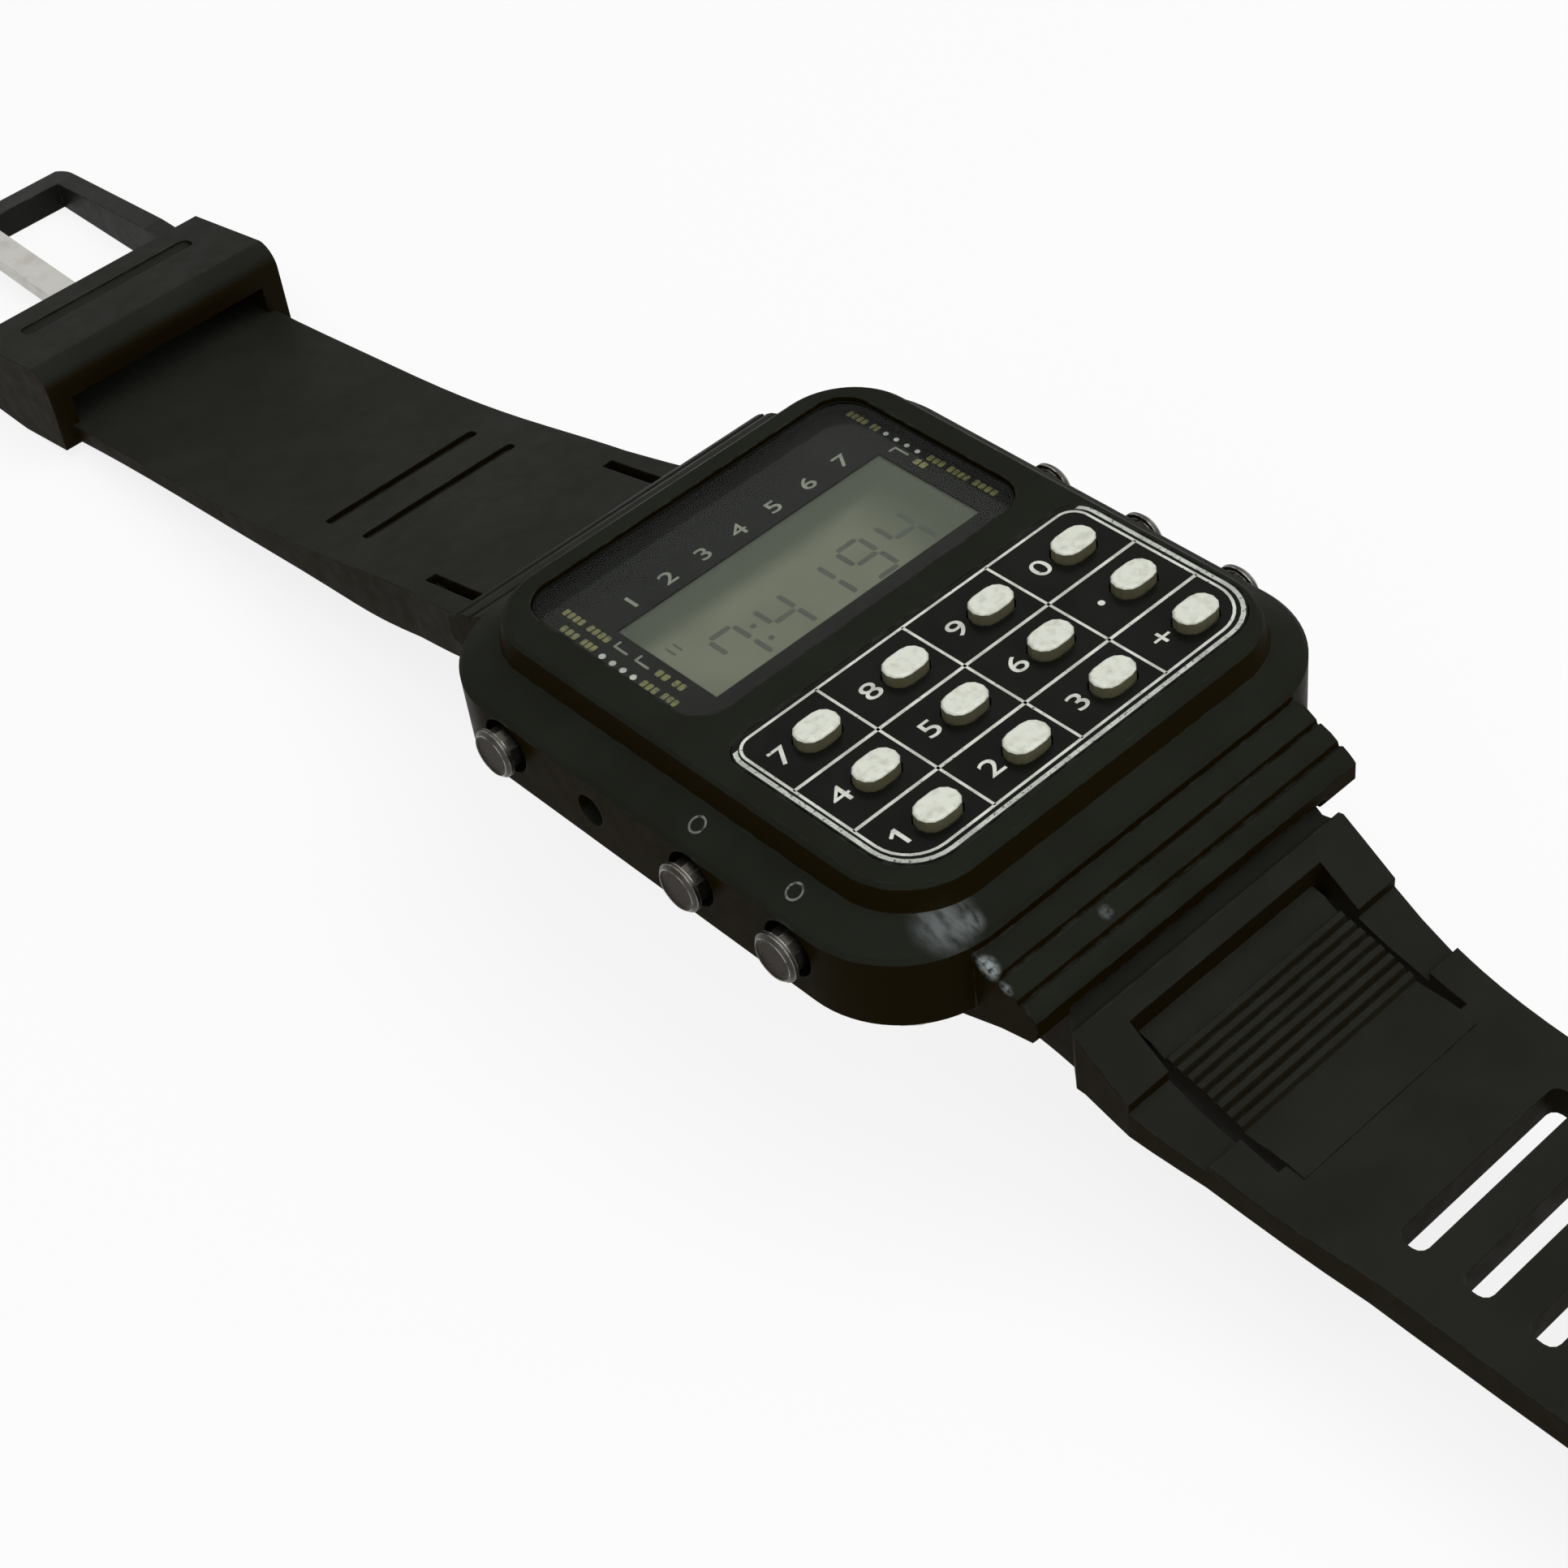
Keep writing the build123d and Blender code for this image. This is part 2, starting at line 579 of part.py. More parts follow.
def make_lcd_reflector():
    """The reflecting sheet on the back of the cell, between the connectors."""
    inset = LCD_LEDGE + POCKET_GAP / 2
    return box_between(LCD_LEFT_X + inset, LCD_RIGHT_X - inset, LCD_LOW_Y + inset, LCD_HIGH_Y - inset,
                       LCD_BOTTOM_Z - REFLECTOR_THICKNESS, LCD_BOTTOM_Z)


def connector_rows():
    """Low Y edge of each connector strip."""
    edge = (LCD_LEDGE - CONNECTOR_WIDTH) / 2
    return LCD_LOW_Y + edge, LCD_HIGH_Y - edge - CONNECTOR_WIDTH


def make_lcd_connectors():
    """Two rubber connector strips between the cell and the board."""
    half = CONNECTOR_LENGTH / 2
    strips = [
        box_between(LCD_MIDDLE_X - half, LCD_MIDDLE_X + half, y, y + CONNECTOR_WIDTH, BOARD_TOP_Z, LCD_BOTTOM_Z)
        for y in connector_rows()
    ]
    return Compound(children=strips)


def stem_notch(side, y):
    """Room in the display frame for a button stem and its clip."""
    outer = side * (MODULE_WIDTH / 2 + CUT)
    inner = side * (MODULE_WIDTH / 2 - NOTCH_DEPTH)
    return box_between(min(outer, inner), max(outer, inner), y - NOTCH_WIDTH / 2, y + NOTCH_WIDTH / 2,
                       BOARD_TOP_Z - CUT, NOTCH_TOP_Z)


def make_lcd_frame():
    """The moulded frame that carries the cell over the board, with a rail beside the keys."""
    low_y = LCD_LOW_Y - LCD_LEDGE / 2
    high_z = HOLLOW_ROOF_Z - POCKET_GAP / 2
    frame = soft_slab(MODULE_WIDTH, MODULE_LENGTH, MODULE_CORNER, BOARD_TOP_Z, high_z)
    frame -= box_between(RAIL_INNER_X, MODULE_WIDTH, -MODULE_LENGTH, low_y, BOARD_TOP_Z - CUT, high_z + CUT)
    frame -= box_between(LCD_LEFT_X - SEAT_GAP, LCD_RIGHT_X + SEAT_GAP, LCD_LOW_Y - SEAT_GAP,
                         LCD_HIGH_Y + SEAT_GAP, LCD_BOTTOM_Z, high_z + CUT)
    frame -= box_between(LCD_LEFT_X + LCD_LEDGE, LCD_RIGHT_X - LCD_LEDGE, LCD_LOW_Y + LCD_LEDGE,
                         LCD_HIGH_Y - LCD_LEDGE, BOARD_TOP_Z - CUT, high_z)
    half = CONNECTOR_LENGTH / 2 + SEAT_GAP
    for y in connector_rows():
        frame -= box_between(LCD_MIDDLE_X - half, LCD_MIDDLE_X + half, y - SEAT_GAP,
                             y + CONNECTOR_WIDTH + SEAT_GAP, BOARD_TOP_Z - CUT, high_z)
    for name, side, y in button_places():
        if side < 0 or y > low_y:
            frame -= stem_notch(side, y)
    frame -= stem_notch(-1, ADJUST_Y)
    frame -= lamp_pocket()
    for x, y in module_screw_places():
        frame -= upright_prism(MODULE_SCREW_RADIUS + SCREW_GAP, BOARD_TOP_Z - CUT,
                               BOARD_TOP_Z + MODULE_SCREW_REACH + SCREW_GAP, x, y)
    return frame


def lamp_level():
    """Height of the lamp's axis, under the cell's back."""
    return LCD_BOTTOM_Z - LAMP_RADIUS


def make_lamp():
    """The lamp: a short round bulb along Y."""
    middle = Pos(LAMP_X, LAMP_Y, lamp_level()) * Rot(90, 0, 0)
    return middle * extrude(RegularPolygon(LAMP_RADIUS, ROUND_SIDES), LAMP_LENGTH / 2, both=True)


def lamp_pocket():
    """The pocket for the lamp in the display frame."""
    radius = LAMP_RADIUS + POCKET_GAP
    half = LAMP_LENGTH / 2 + POCKET_GAP
    return box_between(LAMP_X - radius, LAMP_X + radius, LAMP_Y - half, LAMP_Y + half,
                       lamp_level() - LAMP_RADIUS - SEAT_GAP, HOLLOW_ROOF_Z)


# Keypad

def key_outline(grow, z):
    """The outline of a key top, grown all round, at a height."""
    return soft_outline(KEY_WIDTH + 2 * grow, KEY_DEPTH + 2 * grow, KEY_CORNER + grow, z)


def make_key():
    """One key: a chamfered top, a retaining flange and a foot that rests on the mat."""
    top_z = FACE_Z + KEY_PROUD
    stem = extrude(key_outline(0, FLANGE_TOP_Z), top_z - KEY_EDGE - FLANGE_TOP_Z)
    edge = loft([key_outline(0, top_z - KEY_EDGE), key_outline(-KEY_EDGE, top_z)], ruled=True)
    half_x = KEY_WIDTH / 2 + KEY_FLANGE_LIP
    half_y = KEY_DEPTH / 2 + KEY_FLANGE_LIP
    flange = box_between(-half_x, half_x, -half_y, half_y, FLANGE_BOTTOM_Z, FLANGE_TOP_Z)
    foot = upright_prism(KEY_FOOT_RADIUS, DOME_TOP_Z, FLANGE_BOTTOM_Z, 0, 0, SMALL_SIDES)
    return stem + edge + flange + foot


def make_keypad_plate():
    """The glossy plate round the keys, with one opening for each."""
    plate = extrude(pad_outline(0, PAD_BOTTOM_Z), PAD_THICKNESS)
    hole = extrude(key_outline(KEY_GAP, PAD_BOTTOM_Z - CUT), PAD_THICKNESS + 2 * CUT)
    for _, x, y in key_places():
        plate -= Pos(x, y, 0) * hole
    return plate


def make_key_mat():
    """The rubber mat on the board, with a dome under each key."""
    mat = box_between(KEY_FIRST_X - MAT_MARGIN, LAST_KEY_X + MAT_MARGIN, LAST_KEY_Y - MAT_MARGIN,
                      KEY_FIRST_Y + MAT_MARGIN, BOARD_TOP_Z, MAT_TOP_Z)
    mat = chamfer(mat.edges().filter_by(Axis.Z), MAT_CORNER)
    dome = loft([
        Pos(0, 0, MAT_TOP_Z) * RegularPolygon(DOME_FOOT_RADIUS, SMALL_SIDES),
        Pos(0, 0, DOME_TOP_Z) * RegularPolygon(DOME_TOP_RADIUS, SMALL_SIDES),
    ], ruled=True)
    for _, x, y in key_places():
        mat += Pos(x, y, 0) * dome
    return mat


# Module

def module_screw_places():
    """Corners of the module where its screws stand."""
    return [(MODULE_SCREW_X, MODULE_SCREW_Y), (-MODULE_SCREW_X, MODULE_SCREW_Y), (-MODULE_SCREW_X, -MODULE_SCREW_Y)]


def back_screw_places():
    """The four corners of the case back."""
    return [(sx * BACK_SCREW_X, sy * BACK_SCREW_Y) for sx in (-1, 1) for sy in (-1, 1)]


def make_circuit_board():
    """The board under the display and the keys."""
    board = soft_slab(MODULE_WIDTH, MODULE_LENGTH, MODULE_CORNER, BOARD_BOTTOM_Z, BOARD_TOP_Z)
    for x, y in module_screw_places():
        board -= upright_prism(MODULE_SCREW_RADIUS + SCREW_GAP, BOARD_BOTTOM_Z - CUT, BOARD_TOP_Z + CUT, x, y)
    return board


def make_chip():
    """The processor package under the board."""
    half = CHIP_SIDE / 2
    return box_between(CHIP_X - half, CHIP_X + half, CHIP_Y - half, CHIP_Y + half, BOARD_BOTTOM_Z - CHIP_HEIGHT,
                       BOARD_BOTTOM_Z)


def make_quartz_can():
    """The quartz crystal in its round can, under the board."""
    return crosswise_prism(QUARTZ_RADIUS, QUARTZ_X - QUARTZ_LENGTH / 2, QUARTZ_X + QUARTZ_LENGTH / 2, QUARTZ_Y,
                           BOARD_BOTTOM_Z - QUARTZ_RADIUS)


def make_trimmer():
    """The trimming capacitor, with its slot towards the back."""
    low_z = BOARD_BOTTOM_Z - TRIMMER_HEIGHT
    trimmer = upright_prism(TRIMMER_RADIUS, low_z, BOARD_BOTTOM_Z, TRIMMER_X, TRIMMER_Y)
    return trimmer - box_between(TRIMMER_X - TRIMMER_RADIUS - CUT, TRIMMER_X + TRIMMER_RADIUS + CUT,
                                 TRIMMER_Y - SCREW_SLOT_WIDTH / 2, TRIMMER_Y + SCREW_SLOT_WIDTH / 2,
                                 low_z - CUT, low_z + SCREW_SLOT_DEPTH)


def make_module_holder():
    """The moulded holder between the board and the back, with pockets for the cell and the board's parts."""
    holder = soft_slab(MODULE_WIDTH, MODULE_LENGTH, MODULE_CORNER, HOLDER_LOW_Z, BOARD_BOTTOM_Z)
    low, high = HOLDER_LOW_Z - CUT, BOARD_BOTTOM_Z + CUT
    holder -= upright(CELL_RADIUS + CELL_GAP, low, high, CELL_X, CELL_Y)
    half = CHIP_SIDE / 2 + POCKET_GAP
    holder -= box_between(CHIP_X - half, CHIP_X + half, CHIP_Y - half, CHIP_Y + half, low, high)
    quartz_half = QUARTZ_LENGTH / 2 + POCKET_GAP
    quartz_side = QUARTZ_RADIUS + POCKET_GAP
    holder -= box_between(QUARTZ_X - quartz_half, QUARTZ_X + quartz_half, QUARTZ_Y - quartz_side,
                          QUARTZ_Y + quartz_side, low, high)
    holder -= upright_prism(TRIMMER_RADIUS + POCKET_GAP, low, high, TRIMMER_X, TRIMMER_Y)
    for x, y in module_screw_places():
        holder -= upright_prism(MODULE_SCREW_RADIUS + SCREW_GAP, low, high, x, y)
    for y in (CELL_Y - CELL_RADIUS - CELL_GAP, CELL_Y + CELL_RADIUS + CELL_GAP):
        holder -= box_between(CELL_X - CLAMP_WIDTH / 2, CELL_X + CLAMP_WIDTH / 2, y - CLAMP_WIDTH / 4,
                              y + CLAMP_WIDTH / 4, low, HOLDER_LOW_Z + CLAMP_THICKNESS)
    return holder


def make_battery():
    """The silver oxide cell, with the step of its cap."""
    low_z = HOLDER_LOW_Z + CLAMP_THICKNESS
    top_z = low_z + CELL_HEIGHT
    step = CELL_HEIGHT / 6
    can = upright(CELL_RADIUS, low_z, top_z - step, CELL_X, CELL_Y)
    cap = upright(CELL_RADIUS * 5 / 6, top_z - step, top_z, CELL_X, CELL_Y)
    return can + cap


def make_battery_clamp():
    """The sprung strip that holds the cell, seated in two slots of the holder."""
    reach = CELL_RADIUS + CELL_GAP + CLAMP_WIDTH / 4 - SEAT_GAP
    half = CLAMP_WIDTH / 2 - SEAT_GAP
    return box_between(CELL_X - half, CELL_X + half, CELL_Y - reach, CELL_Y + reach, HOLDER_LOW_Z,
                       HOLDER_LOW_Z + CLAMP_THICKNESS)


def slotted_screw(x, y, radius, head_radius, head_height, length, z_low):
    """A cheese-head screw that stands on its head, with a slot across it."""
    head = upright_prism(head_radius, z_low, z_low + head_height, x, y)
    shank = upright_prism(radius, z_low + head_height, z_low + length, x, y)
    slot = box_between(x - head_radius - CUT, x + head_radius + CUT, y - SCREW_SLOT_WIDTH / 2,
                       y + SCREW_SLOT_WIDTH / 2, z_low - CUT, z_low + SCREW_SLOT_DEPTH)
    return head + shank - slot


def make_module_screws():
    """Three screws that hold the holder, the board and the display frame together."""
    low_z = HOLDER_LOW_Z - MODULE_SCREW_HEAD_HEIGHT
    length = BOARD_TOP_Z + MODULE_SCREW_REACH - low_z
    return Compound(children=[
        slotted_screw(x, y, MODULE_SCREW_RADIUS, MODULE_SCREW_HEAD_RADIUS, MODULE_SCREW_HEAD_HEIGHT, length, low_z)
        for x, y in module_screw_places()
    ])


# Case back

def make_case_back():
    """The steel back with four sunk places for its screws."""
    back = soft_slab(BACK_WIDTH, BACK_LENGTH, BACK_CORNER, 0, BACK_THICKNESS)
    for x, y in back_screw_places():
        back -= upright_prism(SCREW_RADIUS + SCREW_GAP, -CUT, BACK_THICKNESS + CUT, x, y)
        back -= upright_prism(SCREW_HEAD_RADIUS + SCREW_GAP, -CUT, SCREW_HEAD_HEIGHT, x, y)
    return back


def make_back_screws():
    """Four screws with heads flush in the back."""
    return Compound(children=[
        slotted_screw(x, y, SCREW_RADIUS, SCREW_HEAD_RADIUS, SCREW_HEAD_HEIGHT, SCREW_LENGTH, 0)
        for x, y in back_screw_places()
    ])


def make_case_gasket():
    """The rubber gasket between the back and the case."""
    return gasket_ring(GASKET_WIDTH, GASKET_HEIGHT, BACK_THICKNESS)


# Side buttons

def lathe_x(points):
    """A turned piece on the X axis, from (X, radius) points."""
    outline = Polyline((points[0][0], 0), *points, (points[-1][0], 0), close=True)
    return revolve(make_face(outline.edges()), Axis.X)


def on_side(shape, side, y, z):
    """Put a piece that is made along +X on the right or the left side of the case."""
    return Pos(0, y, z) * Rot(0, 0, 0 if side > 0 else 180) * shape


def make_button():
    """A round button with a dished rim, a neck in the well and a grooved stem through the wall."""
    front_x = CASE_SIDE_X + BUTTON_PROUD
    head_x = front_x - BUTTON_HEAD
    neck_x = head_x - BUTTON_NECK
    end_x = HOLLOW_SIDE_X - STEM_PAST_WALL
    clip_x = HOLLOW_SIDE_X - CLIP_GAP
    dish_radius = BUTTON_RADIUS - 2 * BUTTON_RIM
    head = lathe_x([
        (front_x - BUTTON_DISH, dish_radius),
        (front_x, BUTTON_RADIUS - BUTTON_RIM),
        (front_x - BUTTON_RIM, BUTTON_RADIUS),
        (head_x, BUTTON_RADIUS),
    ])
    head += crosswise_prism(BUTTON_NECK_RADIUS, neck_x, head_x, 0, 0)
    stem = crosswise_prism(BUTTON_STEM_RADIUS, clip_x, neck_x, 0, 0)
    groove = crosswise_prism(CLIP_GROOVE_RADIUS, clip_x - CLIP_THICKNESS, clip_x, 0, 0)
    end = crosswise_prism(BUTTON_STEM_RADIUS, end_x, clip_x - CLIP_THICKNESS, 0, 0)
    return head + stem + groove + end


def make_button_clip():
    """The open retaining ring in the groove of a stem."""
    clip_x = HOLLOW_SIDE_X - CLIP_GAP
    ring = crosswise_prism(CLIP_RADIUS, clip_x - CLIP_THICKNESS, clip_x, 0, 0)
    ring -= crosswise_prism(CLIP_GROOVE_RADIUS, clip_x - CLIP_THICKNESS - CUT, clip_x + CUT, 0, 0)
    mouth = CLIP_GROOVE_RADIUS
    return ring - box_between(clip_x - CLIP_THICKNESS - CUT, clip_x + CUT, -mouth, mouth, 0, CLIP_RADIUS + CUT)


def make_button_spring():
    """The return spring in a well, between the well's floor and the button's neck."""
    low_x = CASE_SIDE_X - BUTTON_WELL_DEPTH + SPRING_WIRE
    neck_x = CASE_SIDE_X + BUTTON_PROUD - BUTTON_HEAD - BUTTON_NECK - SPRING_WIRE
    steps = SPRING_TURNS * SPRING_STEPS
    path = Polyline(*[
        (low_x + (neck_x - low_x) * step / steps,
         SPRING_RADIUS * cos(2 * pi * step / SPRING_STEPS),
         SPRING_RADIUS * sin(2 * pi * step / SPRING_STEPS))
        for step in range(steps + 1)
    ])
    wire = Plane(path @ 0, z_dir=path % 0) * RegularPolygon(SPRING_WIRE, 4)
    return sweep(wire, path=path, transition=Transition.RIGHT)


def make_adjust_pusher():
    """The small pusher in the recessed hole, kept in by its flange."""
    outer_x = CASE_SIDE_X - ADJUST_SINK
    flange_x = HOLLOW_SIDE_X - CLIP_GAP
    rod = crosswise_prism(ADJUST_RADIUS, flange_x, outer_x, 0, 0)
    return rod + crosswise_prism(ADJUST_FLANGE_RADIUS, flange_x - CLIP_THICKNESS, flange_x, 0, 0)


# Strap

def make_spring_bar():
    """A spring bar between the cheeks, with a thin tip at each end."""
    half = LUG_GAP / 2 - RUNNING_GAP
    body = crosswise(SPRING_BAR_RADIUS, -half, half, HINGE_Y, HINGE_Z)
    reach = half + SPRING_BAR_TIP
    return body + crosswise_prism(SPRING_BAR_TIP_RADIUS, -reach, reach, HINGE_Y, HINGE_Z)


def at_shares(shares, reach):
    """Points (Y, Z) on a strap's side, from shares of its reach and of its drop."""
    return [(HINGE_Y + along * reach, HINGE_Z - down * STRAP_DROP) for along, down in shares]


def root_edge_points():
    """The top and the bottom of a strap's root, inside its barrel."""
    return (HINGE_Y, HINGE_Z + STRAP_ROOT_RADIUS * 2 / 3), (HINGE_Y, HINGE_Z - STRAP_ROOT_RADIUS * 2 / 3)


def height_at(points, y):
    """Height of a polyline of (Y, Z) points at a Y."""
    for (y0, z0), (y1, z1) in zip(points, points[1:]):
        if y0 <= y <= y1:
            return z0 + (z1 - z0) * (y - y0) / (y1 - y0)
    return points[-1][1]


def flat_outline(points):
    """A plan outline that is the same on both sides of the centre line, made tall enough to cut any strap."""
    right = [(half, y) for half, y in points]
    left = [(-half, y) for half, y in reversed(points)]
    low_z = TABLE_Z - CUT
    outline = Pos(0, 0, low_z) * make_face(Polyline(*right, *left, close=True).edges())
    return extrude(outline, HINGE_Z + STRAP_DROP - low_z)


def strap_root():
    """The barrel of a strap half, which turns on its spring bar."""
    half = STRAP_ROOT_WIDTH / 2
    return crosswise(STRAP_ROOT_RADIUS, -half, half, HINGE_Y, HINGE_Z)


def hinge_bore():
    """The bore of a strap half for its spring bar."""
    half = LUG_GAP / 2
    return crosswise(SPRING_BAR_RADIUS + RUNNING_GAP, -half, half, HINGE_Y, HINGE_Z)


def rounded_groove(length, width, y, z_floor, z_top):
    """A crosswise groove with softened ends."""
    return soft_slab(length, width, width / 3, z_floor, z_top, 0, y)


def top_upper_points():
    """The upper side of the twelve o'clock half."""
    return at_shares(TOP_UPPER_SHARES, TOP_REACH)


def make_top_band():
    """The band of the twelve o'clock half, from the hinge to the buckle, as a plain moulding."""
    upper = top_upper_points()
    lower = at_shares(TOP_LOWER_SHARES, TOP_REACH)
    root_high, root_low = root_edge_points()
    edges = [
        Polyline(root_high, upper[0], upper[1]),
        Spline(*upper[1:]),
        Polyline(upper[-1], (BUCKLE_Y, upper[-1][1]), (BUCKLE_Y, TABLE_Z), lower[-1]),
        Spline(*lower, tangents=[(1, -0.5), (1, 0)], tangent_scalars=[1, 1]),
        Polyline(lower[0], root_low, root_high),
    ]
    profile = side_solid(edges, KEEPER_WIDTH)
    root_half = STRAP_ROOT_WIDTH / 2
    clear_y = HINGE_Y + STRAP_ROOT_CLEAR
    keeper_end_y = KEEPER_START_Y + KEEPER_LENGTH
    plan = flat_outline([
        (root_half, HINGE_Y - CUT),
        (root_half, clear_y),
        (TOP_SHOULDER_WIDTH / 2, clear_y + BAND_THICKNESS),
        (TOP_SHOULDER_WIDTH / 2, SLIT_LOW_Y),
        (TOP_BAND_WIDTH / 2, SLIT_HIGH_Y),
        (TOP_BAND_WIDTH / 2, keeper_end_y),
        (TOP_END_WIDTH / 2, keeper_end_y),
        (TOP_END_WIDTH / 2, BUCKLE_Y + CUT),
    ])
    return profile & plan


def keeper():
    """The moulded loop on the band, open lengthwise for the other half's end."""
    upper = top_upper_points()
    start_y, end_y = KEEPER_START_Y, KEEPER_START_Y + KEEPER_LENGTH
    start_z, end_z = height_at(upper, start_y), height_at(upper, end_y)
    front_top = start_z + KEEPER_FRONT_HEIGHT
    back_top = end_z + KEEPER_BACK_HEIGHT
    bend = KEEPER_ROUND * (1 - cos(pi / 4))
    outline = side_solid([
        Line((start_y, TABLE_Z + BAND_THICKNESS / 2), (start_y, front_top - KEEPER_ROUND)),
        ThreePointArc((start_y, front_top - KEEPER_ROUND), (start_y + bend, front_top - bend),
                      (start_y + KEEPER_ROUND, front_top)),
        Line((start_y + KEEPER_ROUND, front_top), (end_y - KEEPER_ROUND / 2, back_top)),
        Line((end_y - KEEPER_ROUND / 2, back_top), (end_y, back_top - KEEPER_ROUND)),
        Line((end_y, back_top - KEEPER_ROUND), (end_y, TABLE_Z)),
        Line((end_y, TABLE_Z), (start_y + KEEPER_LENGTH / 2, TABLE_Z)),
        Line((start_y + KEEPER_LENGTH / 2, TABLE_Z), (start_y, TABLE_Z + BAND_THICKNESS / 2)),
    ], KEEPER_WIDTH)
    groove_y = (start_y + end_y) / 2 + KEEPER_GROOVE_WIDTH
    groove_z = (front_top + back_top) / 2
    groove = rounded_groove(KEEPER_GROOVE_LENGTH, KEEPER_GROOVE_WIDTH, groove_y, groove_z - KEEPER_GROOVE_DEPTH,
                            groove_z + CUT)
    return outline - groove


def tunnel():
    """The way through the keeper, along the top of the band."""
    upper = top_upper_points()
    y0, y1 = KEEPER_START_Y - CUT, KEEPER_START_Y + KEEPER_LENGTH + CUT
    z0, z1 = height_at(upper, y0), height_at(upper, y1)
    return side_polygon([(y0, z0), (y1, z1), (y1, z1 + TUNNEL_HEIGHT), (y0, z0 + TUNNEL_HEIGHT)], TUNNEL_WIDTH)


def make_strap_top():
    """The twelve o'clock half: root, band, creases, keeper and buckle knuckle."""
    band = make_top_band() + strap_root()
    band += keeper()
    band -= tunnel()
    upper = top_upper_points()
    for y in TOP_CREASES_Y:
        z = height_at(upper, y)
        band -= rounded_groove(CREASE_LENGTH, CREASE_WIDTH, y, z - CREASE_DEPTH, z + CUT)
    for side in (-1, 1):
        x = side * SLIT_X
        low_z = height_at(upper, (SLIT_LOW_Y + SLIT_HIGH_Y) / 2) - SLIT_DEPTH
        band -= box_between(x - SLIT_WIDTH / 2, x + SLIT_WIDTH / 2, SLIT_LOW_Y, SLIT_HIGH_Y, low_z, HINGE_Z)
    half = TOP_END_WIDTH / 2
    band += crosswise(KNUCKLE_RADIUS, -half, half, BUCKLE_Y, BUCKLE_Z)
    notch_half = TONGUE_WIDTH / 2 + TONGUE_GAP
    band -= crosswise(NOTCH_RADIUS, -notch_half, notch_half, BUCKLE_Y, BUCKLE_Z)
    band -= crosswise(BUCKLE_BAR_RADIUS + RUNNING_GAP, -half - CUT, half + CUT, BUCKLE_Y, BUCKLE_Z)
    return band - hinge_bore()


def rib_points(profile):
    """The bridge's upper line with its fine ribs, as a zigzag along the given line."""
    points = []
    step = (RIB_END_Y - RIB_START_Y) / RIB_COUNT
    for rib in range(RIB_COUNT):
        low_y = RIB_START_Y + rib * step
        for rib_share, depth in ((0, RIB_DEPTH), (0.25, 0), (0.75, 0)):
            y = low_y + rib_share * step
            points.append((y, height_at(profile, y) - depth))
    points.append((RIB_END_Y, height_at(profile, RIB_END_Y) - RIB_DEPTH))
    return points


def make_bridge(lower):
    """The ribbed centre of the tail's root, between its two lengthwise slits."""
    arch = at_shares(BRIDGE_UPPER_SHARES, TAIL_REACH)
    band = at_shares(BAND_UPPER_SHARES, TAIL_REACH)
    start_y = ARM_START_Y + BEAM_WIDTH_Y - CUT / 2
    points = [(start_y, arch[0][1])]
    points += [point for point in arch if start_y < point[0] < RIB_START_Y]
    points += rib_points(arch)
    points += [point for point in arch if point[0] > RIB_END_Y]
    points.append((BRIDGE_RAMP_END_Y, height_at(band, BRIDGE_RAMP_END_Y)))
    points.append((BRIDGE_RAMP_END_Y, height_at(lower, BRIDGE_RAMP_END_Y)))
    points += [point for point in reversed(lower) if start_y < point[0] < BRIDGE_RAMP_END_Y]
    points.append((start_y, height_at(lower, start_y)))
    return side_polygon(points, BRIDGE_WIDTH)


def tail_plan():
    """Plan of the six o'clock half: root, arms, tapering band and rounded tip."""
    root_half = STRAP_ROOT_WIDTH / 2
    end_half = TAIL_END_WIDTH / 2
    clear_y = HINGE_Y + STRAP_ROOT_CLEAR
    tip_y = HINGE_Y + TAIL_REACH
    tip_start_y = tip_y - end_half
    right = [
        (root_half, HINGE_Y - CUT),
        (root_half, clear_y - BAND_THICKNESS / 4),
        (ARM_WIDTH / 2, clear_y + BAND_THICKNESS / 4),
        (ARM_WIDTH / 2, ARM_END_Y),
        (RAIL_WIDTH / 2, SECOND_ARM_Y),
        (TAIL_BAND_WIDTH / 2, FIRST_SLOT_Y),
        (TAIL_BAND_WIDTH / 2, FIRST_SLOT_Y + 2 * SLOT_PITCH),
        (end_half, tip_start_y),
    ]
    left = [(-x, y) for x, y in reversed(right)]
    tip = ThreePointArc(right[-1], (0, tip_y), left[0])
    low_z = TABLE_Z - CUT
    outline = Pos(0, 0, low_z) * make_face([Polyline(*left, *right), tip])
    return extrude(outline, HINGE_Z + STRAP_DROP - low_z)


def arm_solid(start_y, end_y, base, rise, low_z):
    """A raised step on the tail, as high as the given line plus a rise."""
    inner = [point for point in base if start_y < point[0] < end_y]
    line = [(start_y, height_at(base, start_y)), *inner, (end_y, height_at(base, end_y))]
    upper = [(y, z + rise) for y, z in line]
    return side_polygon([*upper, (end_y, low_z), (start_y, low_z)], ARM_WIDTH)


